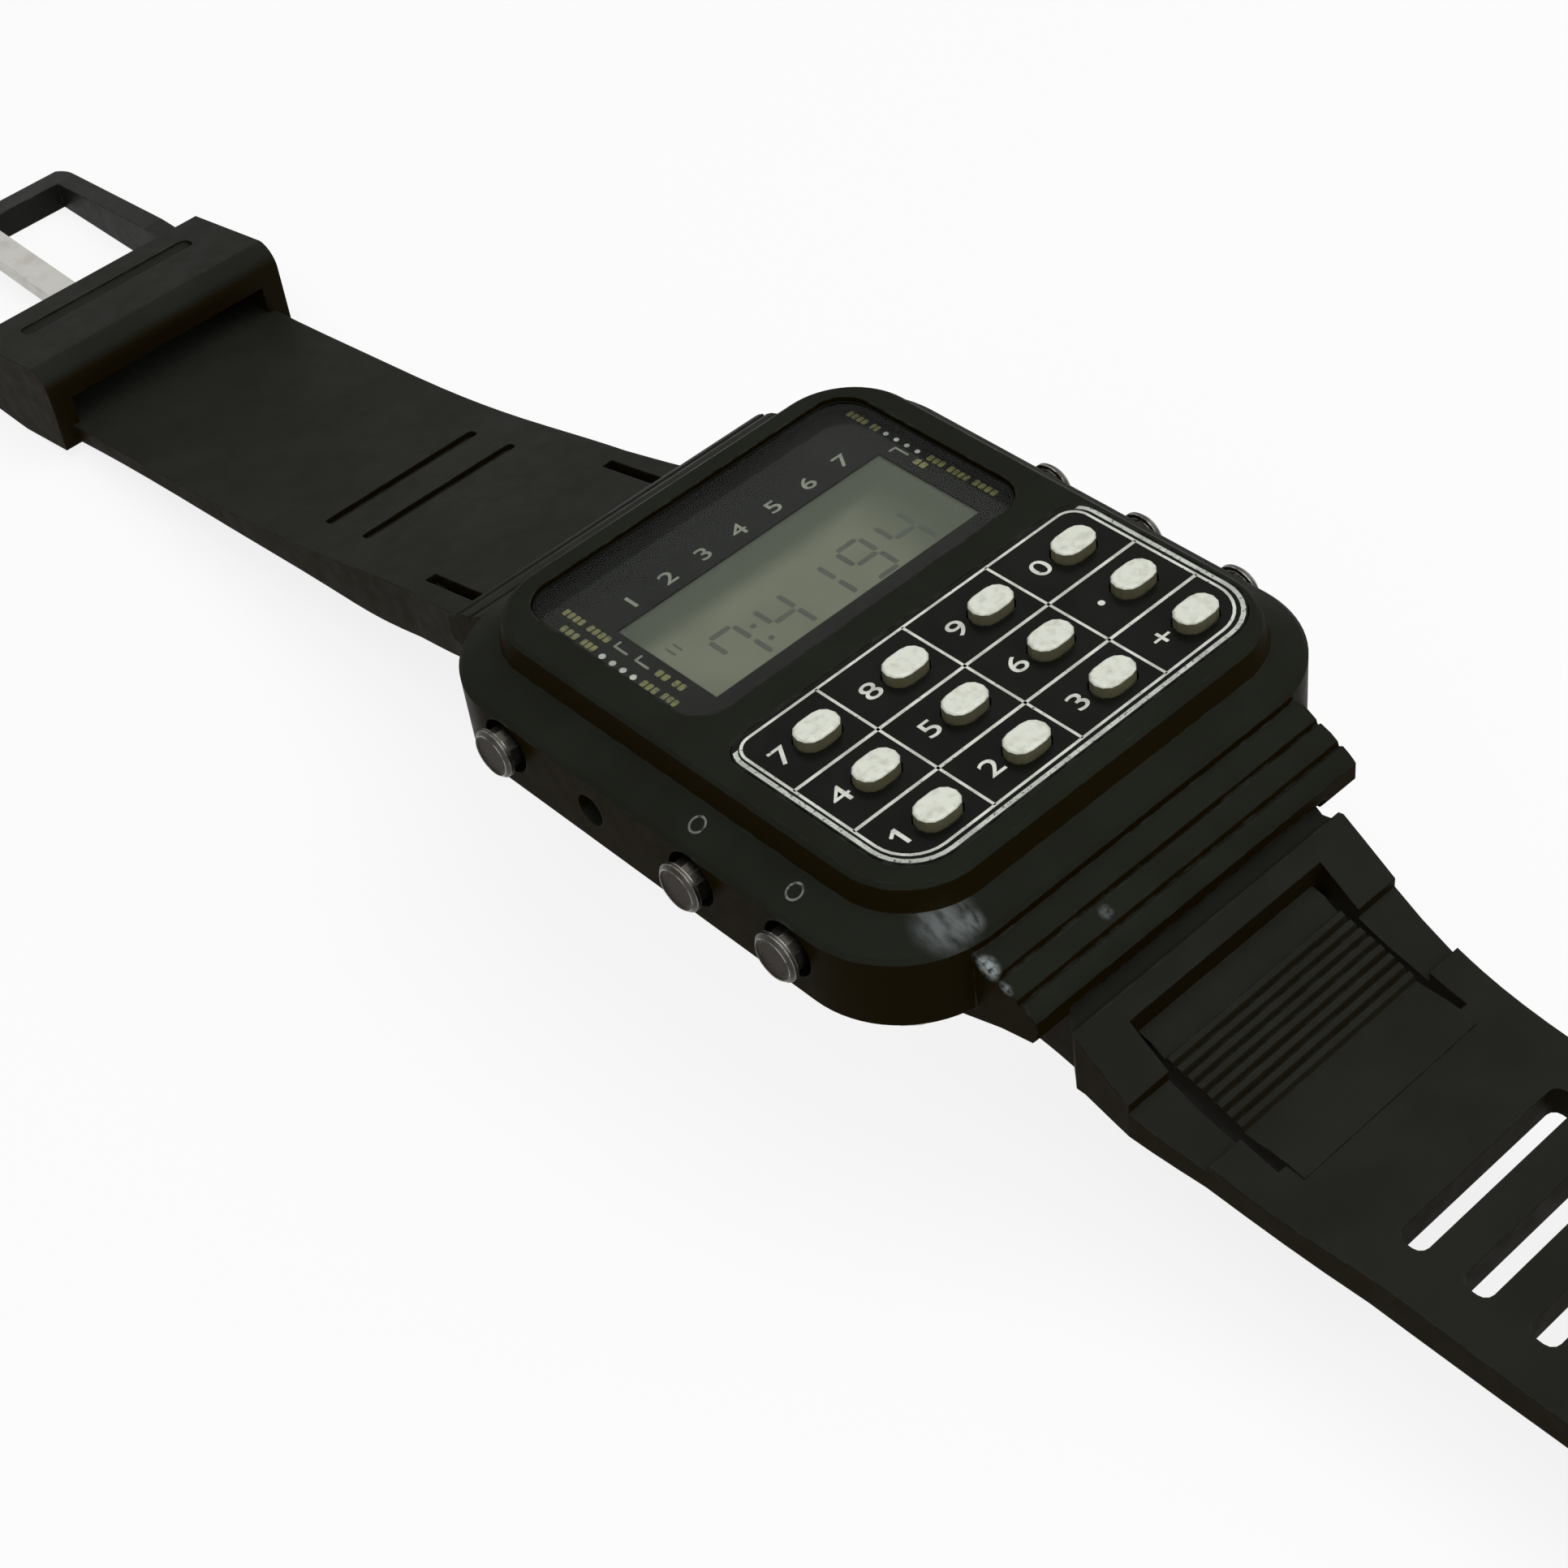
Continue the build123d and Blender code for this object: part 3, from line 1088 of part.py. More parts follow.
def make_strap_tail():
    """The six o'clock half, built towards +Y and then turned to its side: root, ribbed bridge, slots and tip."""
    rail = at_shares(RAIL_UPPER_SHARES, TAIL_REACH)
    band = at_shares(BAND_UPPER_SHARES, TAIL_REACH)
    lower = at_shares(TAIL_LOWER_SHARES, TAIL_REACH)
    root_high, root_low = root_edge_points()
    tip_y = HINGE_Y + TAIL_REACH
    flat_start = band[-2]
    edges = [
        Polyline(root_high, *rail, band[0]),
        Spline(*band[:-1], tangents=[(1, -0.3), (1, 0)], tangent_scalars=[1, 1]),
        Polyline(flat_start, (tip_y, flat_start[1]), (tip_y, TABLE_Z), lower[-1]),
        Spline(*lower, tangents=[(1, -0.1), (1, 0)], tangent_scalars=[1, 1]),
        Polyline(lower[0], root_low, root_high),
    ]
    tail = side_solid(edges, ARM_WIDTH)
    low_z = height_at(rail, ARM_END_Y) - BAND_THICKNESS / 2
    tail += arm_solid(ARM_START_Y, ARM_END_Y, rail, ARM_RISE, low_z)
    well_half = BRIDGE_WIDTH / 2 + BRIDGE_SLIT
    beam_y = ARM_START_Y + BEAM_WIDTH_Y
    tail -= box_between(-well_half, well_half, beam_y, BRIDGE_END_Y, TABLE_Z, HINGE_Z + CUT)
    tail += make_bridge(lower)
    tail = tail & tail_plan()
    hole = soft_slab(SLOT_LENGTH, SLOT_WIDTH, SLOT_CORNER, TABLE_Z - CUT, HINGE_Z)
    for slot in range(SLOT_COUNT):
        tail -= Pos(0, FIRST_SLOT_Y + slot * SLOT_PITCH, 0) * hole
    tail += strap_root()
    tail -= hinge_bore()
    return mirror(tail, about=Plane.XZ)


# Buckle

def make_buckle_frame():
    """The buckle frame: two ears on the bar, sloping arms and a front bar with a seat for the tongue."""
    back_y = BUCKLE_Y - FRAME_EAR
    front_y = BUCKLE_Y + FRAME_REACH
    back_top = TABLE_Z + FRAME_BACK_HEIGHT
    front_top = TABLE_Z + FRAME_FRONT_HEIGHT
    bevel = FRAME_FRONT_HEIGHT / 3
    frame = side_polygon([
        (back_y, TABLE_Z + bevel),
        (back_y, back_top - bevel),
        (back_y + bevel, back_top),
        (BUCKLE_Y + FRAME_EAR, back_top),
        (front_y - FRAME_BAR, front_top),
        (front_y - bevel, front_top - bevel / 3),
        (front_y, front_top - bevel),
        (front_y, TABLE_Z + bevel),
        (front_y - bevel, TABLE_Z),
        (back_y + bevel, TABLE_Z),
    ], FRAME_WIDTH)
    corners = slab_rows(FRAME_WIDTH, back_y - 2 * FRAME_CORNER, front_y, FRAME_CORNER, TABLE_Z - CUT, back_top + CUT)
    frame = frame & corners
    inner_half = FRAME_INNER_WIDTH / 2
    frame -= box_between(-inner_half, inner_half, back_y - CUT, front_y - FRAME_BAR, TABLE_Z - CUT, back_top + CUT)
    seat_half = TONGUE_WIDTH / 2 + TONGUE_GAP
    frame -= box_between(-seat_half, seat_half, front_y - FRAME_BAR - CUT, front_y + CUT, front_top - TONGUE_SEAT,
                         back_top + CUT)
    bar_half = FRAME_WIDTH / 2 - (FRAME_WIDTH - FRAME_INNER_WIDTH) / 4
    frame -= crosswise(BUCKLE_BAR_RADIUS + RUNNING_GAP, -bar_half, bar_half, BUCKLE_Y, BUCKLE_Z)
    return frame


def make_buckle_bar():
    """The bar through the knuckle, held in the ears of the frame."""
    half = FRAME_WIDTH / 2 - (FRAME_WIDTH - FRAME_INNER_WIDTH) / 4 - RUNNING_GAP
    return crosswise(BUCKLE_BAR_RADIUS, -half, half, BUCKLE_Y, BUCKLE_Z)


def make_buckle_tongue():
    """The tongue: an eye on the bar and a shank that rests in the seat of the front bar."""
    front_y = BUCKLE_Y + FRAME_REACH
    seat_z = TABLE_Z + FRAME_FRONT_HEIGHT - TONGUE_SEAT + RUNNING_GAP
    tip_y = front_y - TONGUE_PAST_BAR
    bar_y = front_y - FRAME_BAR
    rise_y = BUCKLE_Y + TONGUE_EYE_RADIUS
    shank = side_polygon([
        (BUCKLE_Y, BUCKLE_Z + TONGUE_EYE_RADIUS),
        (rise_y, BUCKLE_Z + TONGUE_EYE_RADIUS),
        (bar_y, seat_z + TONGUE_THICKNESS),
        (tip_y - TONGUE_THICKNESS / 2, seat_z + TONGUE_THICKNESS),
        (tip_y, seat_z + TONGUE_THICKNESS / 3),
        (tip_y, seat_z),
        (bar_y, seat_z),
        (rise_y, BUCKLE_Z),
        (BUCKLE_Y, BUCKLE_Z),
    ], TONGUE_WIDTH)
    half = TONGUE_WIDTH / 2
    eye = crosswise(TONGUE_EYE_RADIUS, -half, half, BUCKLE_Y, BUCKLE_Z)
    bore = crosswise(BUCKLE_BAR_RADIUS + RUNNING_GAP, -half - CUT, half + CUT, BUCKLE_Y, BUCKLE_Z)
    return shank + eye - bore


def all_pieces():
    """Every piece of the watch by its name."""
    spring_bar = make_spring_bar()
    pieces = {
        "case": make_case(),
        "display_window": make_display_window(),
        "face_plate": make_face_plate(),
        "lcd_panel": make_lcd_panel(),
        "lcd_reflector": make_lcd_reflector(),
        "lcd_connectors": make_lcd_connectors(),
        "lcd_frame": make_lcd_frame(),
        "lamp": make_lamp(),
        "keypad_plate": make_keypad_plate(),
        "key_mat": make_key_mat(),
        "circuit_board": make_circuit_board(),
        "chip": make_chip(),
        "quartz_can": make_quartz_can(),
        "trimmer": make_trimmer(),
        "module_holder": make_module_holder(),
        "battery": make_battery(),
        "battery_clamp": make_battery_clamp(),
        "module_screws": make_module_screws(),
        "case_back": make_case_back(),
        "back_screws": make_back_screws(),
        "case_gasket": make_case_gasket(),
        "spring_bar_top": spring_bar,
        "spring_bar_tail": mirror(spring_bar, about=Plane.XZ),
        "strap_top": make_strap_top(),
        "strap_tail": make_strap_tail(),
        "buckle_frame": make_buckle_frame(),
        "buckle_bar": make_buckle_bar(),
        "buckle_tongue": make_buckle_tongue(),
        "adjust_pusher": on_side(make_adjust_pusher(), -1, ADJUST_Y, ADJUST_Z),
    }
    key = make_key()
    for label, x, y in key_places():
        pieces["key_" + label] = Pos(x, y, 0) * key
    button, clip, spring = make_button(), make_button_clip(), make_button_spring()
    for name, side, y in button_places():
        pieces["button_" + name] = on_side(button, side, y, BUTTON_Z)
        pieces["button_clip_" + name] = on_side(clip, side, y, BUTTON_Z)
        pieces["button_spring_" + name] = on_side(spring, side, y, BUTTON_Z)
    return pieces


def main():
    """Write every piece to its own file."""
    os.makedirs("parts", exist_ok=True)
    for name, piece in all_pieces().items():
        export_step(piece, f"parts/{name}.step")
        print(name, round(piece.volume, 3))


main()
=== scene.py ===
"""Finishes, printing, display figures and a plain studio for the calculator watch."""

import logging
from dataclasses import dataclass, field, replace
from enum import Enum
from typing import Iterable, Sequence

import bmesh
import bpy
from mathutils import Matrix, Vector


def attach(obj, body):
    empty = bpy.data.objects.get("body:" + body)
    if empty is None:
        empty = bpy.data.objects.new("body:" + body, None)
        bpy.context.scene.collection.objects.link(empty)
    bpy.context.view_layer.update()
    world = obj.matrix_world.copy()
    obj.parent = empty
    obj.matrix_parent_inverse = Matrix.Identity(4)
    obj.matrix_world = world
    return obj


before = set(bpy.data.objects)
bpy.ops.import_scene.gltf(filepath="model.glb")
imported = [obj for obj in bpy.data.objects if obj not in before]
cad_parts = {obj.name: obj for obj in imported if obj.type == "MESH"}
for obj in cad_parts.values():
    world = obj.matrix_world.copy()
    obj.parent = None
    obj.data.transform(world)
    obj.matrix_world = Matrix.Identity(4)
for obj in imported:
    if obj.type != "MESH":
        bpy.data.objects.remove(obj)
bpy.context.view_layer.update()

MM = 0.001
LOG = logging.getLogger("calculator_watch")

Colour = tuple[float, float, float]
Place = tuple[float, float, float]
Point = tuple[float, float]

# Sockets of a Mix node that mixes colours.
MIX_SHARE, MIX_FIRST, MIX_SECOND, MIX_RESULT = 0, 6, 7, 2
# Rays sent by a Bevel node.
BEVEL_SAMPLES = 6
# Cosine between the softened and the true normal where an edge starts to be rubbed, and where
# it is fully so.
RUBBED_START, RUBBED_FULL = 0.97, 0.86
# Z of the normal where a face starts to count as upright and where it fully does.
UPRIGHT_START, UPRIGHT_FULL = 0.75, 0.25
# Share of the normal along an axis where a face starts to look along it and where it fully does.
FACING_START, FACING_FULL = 0.7, 0.95
# Share of a spot's radius within which it is at its full strength.
SPOT_CORE = 0.35
# Share of a sheet's size beyond which, from its middle, a vertex is one of its four corners.
CORNER_REACH = 0.49
# Height of a capital figure as a share of the font's size.
FIGURE_SHARE = 0.73
# Scale of a wave texture, in bands, for one band per unit of length.
WAVE_UNIT = 0.314


class Brush(Enum):
    """The direction of the fine lines on a metal."""

    ALONG_X = (0.04, 1.0, 1.0)
    ALONG_Y = (1.0, 0.04, 1.0)
    EVEN = (1.0, 1.0, 1.0)


@dataclass(frozen=True)
class Cloud:
    """A cloudy pattern: its patches, and the stretch of its values that is spread from start to end."""

    size: float
    detail: float = 3.0
    low: float = 0.3
    high: float = 0.7
    start: float = 0.0
    end: float = 1.0
    stretch: Place = (1.0, 1.0, 1.0)

    def between(self, start: float, end: float) -> "Cloud":
        """The same pattern, spread over other values.

        Args:
            start: The value of its dark parts.
            end: The value of its bright parts.

        Returns:
            The new pattern.
        """
        return replace(self, start=start, end=end)


class Surface:
    """A node material that is put together step by step."""

    def __init__(self, name: str) -> None:
        """Start a material.

        Args:
            name: The material's name.
        """
        self.material = bpy.data.materials.new(name)
        self.material.use_nodes = True
        self.tree = self.material.node_tree
        self.tree.nodes.clear()
        self.shader = self.add("ShaderNodeBsdfPrincipled")
        self.out = self.add("ShaderNodeOutputMaterial")
        self.link(self.shader.outputs["BSDF"], self.out.inputs["Surface"])
        self.place = self.add("ShaderNodeTexCoord").outputs["Object"]

    def add(self, kind: str) -> bpy.types.Node:
        """Add a node of a kind."""
        return self.tree.nodes.new(kind)

    def link(self, start: bpy.types.NodeSocket, end: bpy.types.NodeSocket) -> None:
        """Join an output to an input."""
        self.tree.links.new(start, end)

    def feed(self, socket: bpy.types.NodeSocket, value: object) -> None:
        """Give an input either a constant or another node's output.

        Args:
            socket: The input.
            value: A number, a colour or an output socket.
        """
        if isinstance(value, bpy.types.NodeSocket):
            self.link(value, socket)
        elif isinstance(value, tuple):
            socket.default_value = (*value, 1.0) if len(socket.default_value) == 4 else value
        else:
            socket.default_value = value

    def noise(self, size: float, detail: float = 3.0,
              stretch: Place = (1.0, 1.0, 1.0)) -> bpy.types.NodeSocket:
        """Noise over the piece.

        Args:
            size: The size of its patches in millimetres.
            detail: How many finer layers it has.
            stretch: Scale of the pattern along each axis.

        Returns:
            The noise value, around 0.5.
        """
        turn = self.add("ShaderNodeMapping")
        turn.inputs["Scale"].default_value = stretch
        self.link(self.place, turn.inputs["Vector"])
        cloud = self.add("ShaderNodeTexNoise")
        cloud.inputs["Scale"].default_value = 1.0 / (size * MM)
        cloud.inputs["Detail"].default_value = detail
        self.link(turn.outputs["Vector"], cloud.inputs["Vector"])
        return cloud.outputs["Fac"]

    def band(self, value: bpy.types.NodeSocket, low: float, high: float,
             start: float = 0.0, end: float = 1.0) -> bpy.types.NodeSocket:
        """Spread the stretch of a value from low to high over start to end, smoothly.

        Args:
            value: The value.
            low: Where the stretch starts.
            high: Where the stretch ends.
            start: The result at low.
            end: The result at high.

        Returns:
            The new value.
        """
        spread = self.add("ShaderNodeMapRange")
        spread.interpolation_type = "SMOOTHSTEP"
        limits = {"From Min": low, "From Max": high, "To Min": start, "To Max": end}
        for label, number in limits.items():
            spread.inputs[label].default_value = number
        self.link(value, spread.inputs["Value"])
        return spread.outputs["Result"]

    def cloudy(self, cloud: Cloud) -> bpy.types.NodeSocket:
        """The value of a cloudy pattern over the piece."""
        pattern = self.noise(cloud.size, cloud.detail, cloud.stretch)
        return self.band(pattern, cloud.low, cloud.high, cloud.start, cloud.end)

    def sum(self, operation: str, first: object, second: object) -> bpy.types.NodeSocket:
        """One step of arithmetic on two values."""
        step = self.add("ShaderNodeMath")
        step.operation = operation
        step.use_clamp = True
        self.feed(step.inputs[0], first)
        self.feed(step.inputs[1], second)
        return step.outputs[0]

    def mix(self, share: object, first: object, second: object) -> bpy.types.NodeSocket:
        """A colour between two colours."""
        blend = self.add("ShaderNodeMix")
        blend.data_type = "RGBA"
        self.feed(blend.inputs[MIX_SHARE], share)
        self.feed(blend.inputs[MIX_FIRST], first)
        self.feed(blend.inputs[MIX_SECOND], second)
        return blend.outputs[MIX_RESULT]

    def rounded(self, radius: float) -> bpy.types.NodeSocket:
        """The normal with edges softened to a radius in millimetres."""
        soft = self.add("ShaderNodeBevel")
        soft.samples = BEVEL_SAMPLES
        soft.inputs["Radius"].default_value = radius * MM
        return soft.outputs["Normal"]

    def rubbed_edges(self, radius: float) -> bpy.types.NodeSocket:
        """A mask that is 1 on sharp edges and 0 on flats.

        Args:
            radius: How far the mask reaches from an edge, in millimetres.

        Returns:
            The mask.
        """
        flat = self.add("ShaderNodeNewGeometry").outputs["Normal"]
        dot = self.add("ShaderNodeVectorMath")
        dot.operation = "DOT_PRODUCT"
        self.link(self.rounded(radius), dot.inputs[0])
        self.link(flat, dot.inputs[1])
        return self.band(dot.outputs["Value"], RUBBED_START, RUBBED_FULL)

    def sides(self) -> bpy.types.NodeSocket:
        """A mask that is 1 on upright faces and 0 on level ones."""
        split = self.add("ShaderNodeSeparateXYZ")
        self.link(self.add("ShaderNodeNewGeometry").outputs["Normal"], split.inputs[0])
        return self.band(split.outputs["Z"], UPRIGHT_START, UPRIGHT_FULL)

    def facing(self, axis: str) -> bpy.types.NodeSocket:
        """A mask that is 1 on faces that look along an axis, to either side.

        Args:
            axis: X, Y or Z.

        Returns:
            The mask.
        """
        split = self.add("ShaderNodeSeparateXYZ")
        self.link(self.add("ShaderNodeNewGeometry").outputs["Normal"], split.inputs[0])
        size = self.add("ShaderNodeMath")
        size.operation = "ABSOLUTE"
        self.link(split.outputs[axis], size.inputs[0])
        return self.band(size.outputs[0], FACING_START, FACING_FULL)

    def near(self, centre: Place, radius: float) -> bpy.types.NodeSocket:
        """A mask that is 1 at a place and fades to 0 at a radius.

        Args:
            centre: The place in millimetres.
            radius: The radius in millimetres.

        Returns:
            The mask.
        """
        away = self.add("ShaderNodeVectorMath")
        away.operation = "DISTANCE"
        away.inputs[1].default_value = tuple(c * MM for c in centre)
        self.link(self.place, away.inputs[0])
        return self.band(away.outputs["Value"], radius * MM, SPOT_CORE * radius * MM)

    def overlay(self, share: bpy.types.NodeSocket, other: bpy.types.NodeSocket) -> None:
        """Mix another shader over the main one.

        Args:
            share: How much of the other shader shows, from 0 to 1.
            other: The other shader's output.
        """
        blend = self.add("ShaderNodeMixShader")
        self.link(share, blend.inputs[0])
        self.link(self.shader.outputs["BSDF"], blend.inputs[1])
        self.link(other, blend.inputs[2])
        self.link(blend.outputs[0], self.out.inputs["Surface"])

    def bump(self, height: bpy.types.NodeSocket, depth: float,
             normal: bpy.types.NodeSocket) -> None:
        """Raise the surface by a height pattern.

        Args:
            height: The pattern, from 0 to 1.
            depth: Its height in millimetres.
            normal: The normal that it is added to.
        """
        relief = self.add("ShaderNodeBump")
        relief.inputs["Distance"].default_value = depth * MM
        self.link(height, relief.inputs["Height"])
        self.link(normal, relief.inputs["Normal"])
        self.link(relief.outputs["Normal"], self.shader.inputs["Normal"])


@dataclass(frozen=True)
class WornSpot:
    """A bright patch on a moulding: rubbed by handling, and a painted highlight too on the case's
    shoulder and the hood's rib ends.
    """

    centre: Place
    radius: float
    strength: float
    grain: float = 0.5
    stretch: Place = (1.0, 1.0, 1.0)
    level_only: bool = False

    def flecks(self) -> Cloud:
        """The flecks that the spot is made of."""
        return Cloud(self.grain, 6.0, 0.24, 0.62, stretch=self.stretch)


@dataclass(frozen=True)
class MouldedFinish:
    """Resin, rubber or painted plastic with grain, stains and rubbed edges."""

    name: str
    colour: Colour
    stain: Colour
    roughness: float = 0.45
    gloss: float = 0.3
    grain: float = 0.12
    depth: float = 0.004
    edge: float = 0.12
    worn: Colour = (0.09, 0.095, 0.09)
    wear: float = 0.35
    # Darker, browner colour of upright faces: painted shade on the walls.
    side_colour: Colour | None = None
    patches: Cloud = Cloud(5.0, low=0.38, high=0.64)
    rubs: Cloud = Cloud(0.9, 5.0, 0.42, 0.68)
    rub_reach: float = 2.2
    smears: Cloud = Cloud(1.2, 4.0)
    spots: tuple[WornSpot, ...] = ()
    spot_colour: Colour = (0.25, 0.28, 0.284)

    def make(self) -> bpy.types.Material:
        """Build the material."""
        s = Surface(self.name)
        colour = s.mix(s.cloudy(self.patches), self.colour, self.stain)
        # Painted shade: upright faces take the darker side colour.
        if self.side_colour:
            colour = s.mix(s.sides(), colour, self.side_colour)
        edges = s.rubbed_edges(self.rub_reach * self.edge)
        rubbed = s.sum("MULTIPLY", edges, s.cloudy(self.rubs))
        colour = s.mix(s.sum("MULTIPLY", rubbed, self.wear), colour, self.worn)
        # Bright spots: wear, with painted highlights on the case's shoulder and the hood's rib ends.
        for spot in self.spots:
            flecks = s.cloudy(spot.flecks())
            mask = s.sum("MULTIPLY", s.near(spot.centre, spot.radius), flecks)
            if spot.level_only:
                mask = s.sum("MULTIPLY", mask, s.sum("SUBTRACT", 1.0, s.sides()))
            colour = s.mix(s.sum("MULTIPLY", mask, spot.strength), colour, self.spot_colour)
        s.feed(s.shader.inputs["Base Color"], colour)
        s.feed(s.shader.inputs["Specular IOR Level"], self.gloss)
        smears = self.smears.between(self.roughness - 0.04, self.roughness + 0.05)
        s.link(s.cloudy(smears), s.shader.inputs["Roughness"])
        s.bump(s.noise(self.grain, 2.0), self.depth, s.rounded(self.edge))
        return s.material


@dataclass(frozen=True)
class MetalFinish:
    """Steel, brass or plating with fine lines and a little tarnish."""

    name: str
    colour: Colour
    roughness: float = 0.3
    brush: Brush = Brush.EVEN
    tarnish: Colour = (0.25, 0.22, 0.17)
    tarnish_share: float = 0.3
    edge: float = 0.05
    rim: Colour = (0.6, 0.6, 0.57)
    rim_share: float = 0.0
    end_colour: Colour | None = None
    end_gloss: float = 0.05
    stains: Cloud = Cloud(1.6, 5.0, 0.45, 0.75)
    rubs: Cloud = Cloud(0.5, 4.0, 0.32, 0.6)
    rub_reach: float = 0.16
    line_pitch: float = 0.12
    line_depth: float = 0.0012

    def make(self) -> bpy.types.Material:
        """Build the material."""
        s = Surface(self.name)
        stains = s.sum("MULTIPLY", s.cloudy(self.stains), self.tarnish_share)
        colour = s.mix(stains, self.colour, self.tarnish)
        bare: bpy.types.NodeSocket | float = 1.0
        if self.end_colour:
            ends = s.facing("X")
            colour = s.mix(ends, colour, self.end_colour)
            bare = s.sum("SUBTRACT", 1.0, ends)
            s.feed(s.shader.inputs["Specular IOR Level"], self.end_gloss)
        if self.rim_share:
            rubbed = s.sum("MULTIPLY", s.rubbed_edges(self.rub_reach), s.cloudy(self.rubs))
            colour = s.mix(s.sum("MULTIPLY", rubbed, self.rim_share), colour, self.rim)
        s.feed(s.shader.inputs["Base Color"], colour)
        s.feed(s.shader.inputs["Metallic"], bare)
        lines = s.noise(self.line_pitch, 3.0, self.brush.value)
        sheen = s.band(lines, 0.3, 0.7, self.roughness - 0.06, self.roughness + 0.12)
        s.link(sheen, s.shader.inputs["Roughness"])
        s.bump(lines, self.line_depth, s.rounded(self.edge))
        return s.material


@dataclass(frozen=True)
class GlassFinish:
    """Clear glass or resin with faint smears, and dark paint on its upright rim where asked.

    Lamps shine straight through it, so that what lies under it is lit without noise.
    """

    name: str
    tint: Colour = (0.93, 0.95, 0.93)
    ior: float = 1.15
    gloss: float = 0.3
    rim: Colour | None = None
    smears: Cloud = Cloud(3.0, 2.0, 0.6, 0.85, 0.0, 0.03)

    def make(self) -> bpy.types.Material:
        """Build the material."""
        s = Surface(self.name)
        path = s.add("ShaderNodeLightPath")
        lamps = s.sum("MAXIMUM", path.outputs["Is Shadow Ray"], path.outputs["Is Diffuse Ray"])
        clear = s.add("ShaderNodeBsdfTransparent")
        clear.inputs["Color"].default_value = (*self.tint, 1.0)
        if self.rim:
            level = s.facing("Z")
            s.feed(s.shader.inputs["Base Color"], s.mix(level, self.rim, self.tint))
            s.feed(s.shader.inputs["Transmission Weight"], level)
            lamps = s.sum("MULTIPLY", lamps, level)
        else:
            s.feed(s.shader.inputs["Base Color"], self.tint)
            s.feed(s.shader.inputs["Transmission Weight"], 1.0)
        s.feed(s.shader.inputs["IOR"], self.ior)
        s.feed(s.shader.inputs["Specular IOR Level"], self.gloss)
        s.link(s.cloudy(self.smears), s.shader.inputs["Roughness"])
        s.overlay(lamps, clear.outputs[0])
        return s.material


@dataclass(frozen=True)
class InkFinish:
    """Printed ink that has worn off in flecks."""

    name: str
    colour: Colour
    under: Colour
    loss: float = 0.3
    fleck: float = 0.22
    roughness: float = 0.4
    gloss: float = 0.3
    fading: Cloud = Cloud(1.5, 3.0, 0.35, 0.65, 0.0, 0.35)
    depth: float = 0.002
    edge: float = 0.01

    def make(self) -> bpy.types.Material:
        """Build the material."""
        s = Surface(self.name)
        kept = s.cloudy(Cloud(self.fleck, 4.0, self.loss - 0.06, self.loss + 0.1))
        tone = s.mix(s.cloudy(self.fading), self.colour, self.under)
        s.feed(s.shader.inputs["Base Color"], s.mix(kept, self.under, tone))
        s.feed(s.shader.inputs["Specular IOR Level"], self.gloss)
        s.feed(s.shader.inputs["Roughness"], self.roughness)
        s.bump(s.noise(self.fleck, 2.0), self.depth, s.rounded(self.edge))
        return s.material


@dataclass(frozen=True)
class KeyFinish:
    """Silver paint on the small keys, darker down their sides."""

    name: str = "key_silver_paint"
    top: Colour = (0.61, 0.63, 0.55)
    side: Colour = (0.12, 0.115, 0.066)
    grime: Colour = (0.3, 0.31, 0.24)
    metal: float = 0.15
    stains: Cloud = Cloud(0.5, 5.0, 0.4, 0.76, 0.0, 0.5)
    smears: Cloud = Cloud(0.5, start=0.3, end=0.48)
    grain: float = 0.15
    depth: float = 0.004
    edge: float = 0.16

    def make(self) -> bpy.types.Material:
        """Build the material."""
        s = Surface(self.name)
        tone = s.mix(s.cloudy(self.stains), self.top, self.grime)
        s.feed(s.shader.inputs["Base Color"], s.mix(s.sides(), tone, self.side))
        s.feed(s.shader.inputs["Metallic"], self.metal)
        s.link(s.cloudy(self.smears), s.shader.inputs["Roughness"])
        s.bump(s.noise(self.grain, 3.0), self.depth, s.rounded(self.edge))
        return s.material


@dataclass(frozen=True)
class DisplayFinish:
    """The grey-green display, with a painted shadow of the window frame along its twelve o'clock edge,
    and darker towards three o'clock.
    """

    name: str = "display_glass"
    colour: Colour = (0.156, 0.164, 0.121)
    cloud: Colour = (0.137, 0.145, 0.106)
    # shade colours both the painted shadow of the window frame and the darker part towards three
    # o'clock.
    shade: Colour = (0.055, 0.062, 0.045)
    upper_start: float = 7.2
    upper_end: float = 9.1
    upper_share: float = 0.85
    right_start: float = 3.5
    right_end: float = 9.6
    right_share: float = 0.8
    gloss: float = 0.15
    clouds: Cloud = Cloud(4.0, 3.0, 0.35, 0.65)
    smears: Cloud = Cloud(1.0, start=0.3, end=0.38)
    grain: float = 0.5
    depth: float = 0.001
    edge: float = 0.05

    def make(self) -> bpy.types.Material:
        """Build the material."""
        s = Surface(self.name)
        colour = s.mix(s.cloudy(self.clouds), self.colour, self.cloud)
        split = s.add("ShaderNodeSeparateXYZ")
        s.link(s.place, split.inputs[0])
        # upper is the painted shadow of the window frame along the twelve o'clock edge; right darkens
        # the display towards three o'clock.
        upper = s.band(split.outputs["Y"], self.upper_start * MM, self.upper_end * MM,
                       0.0, self.upper_share)
        right = s.band(split.outputs["X"], self.right_start * MM, self.right_end * MM,
                       0.0, self.right_share)
        colour = s.mix(s.sum("MAXIMUM", upper, right), colour, self.shade)
        s.feed(s.shader.inputs["Base Color"], colour)
        s.feed(s.shader.inputs["Specular IOR Level"], self.gloss)
        s.link(s.cloudy(self.smears), s.shader.inputs["Roughness"])
        s.bump(s.noise(self.grain), self.depth, s.rounded(self.edge))
        return s.material


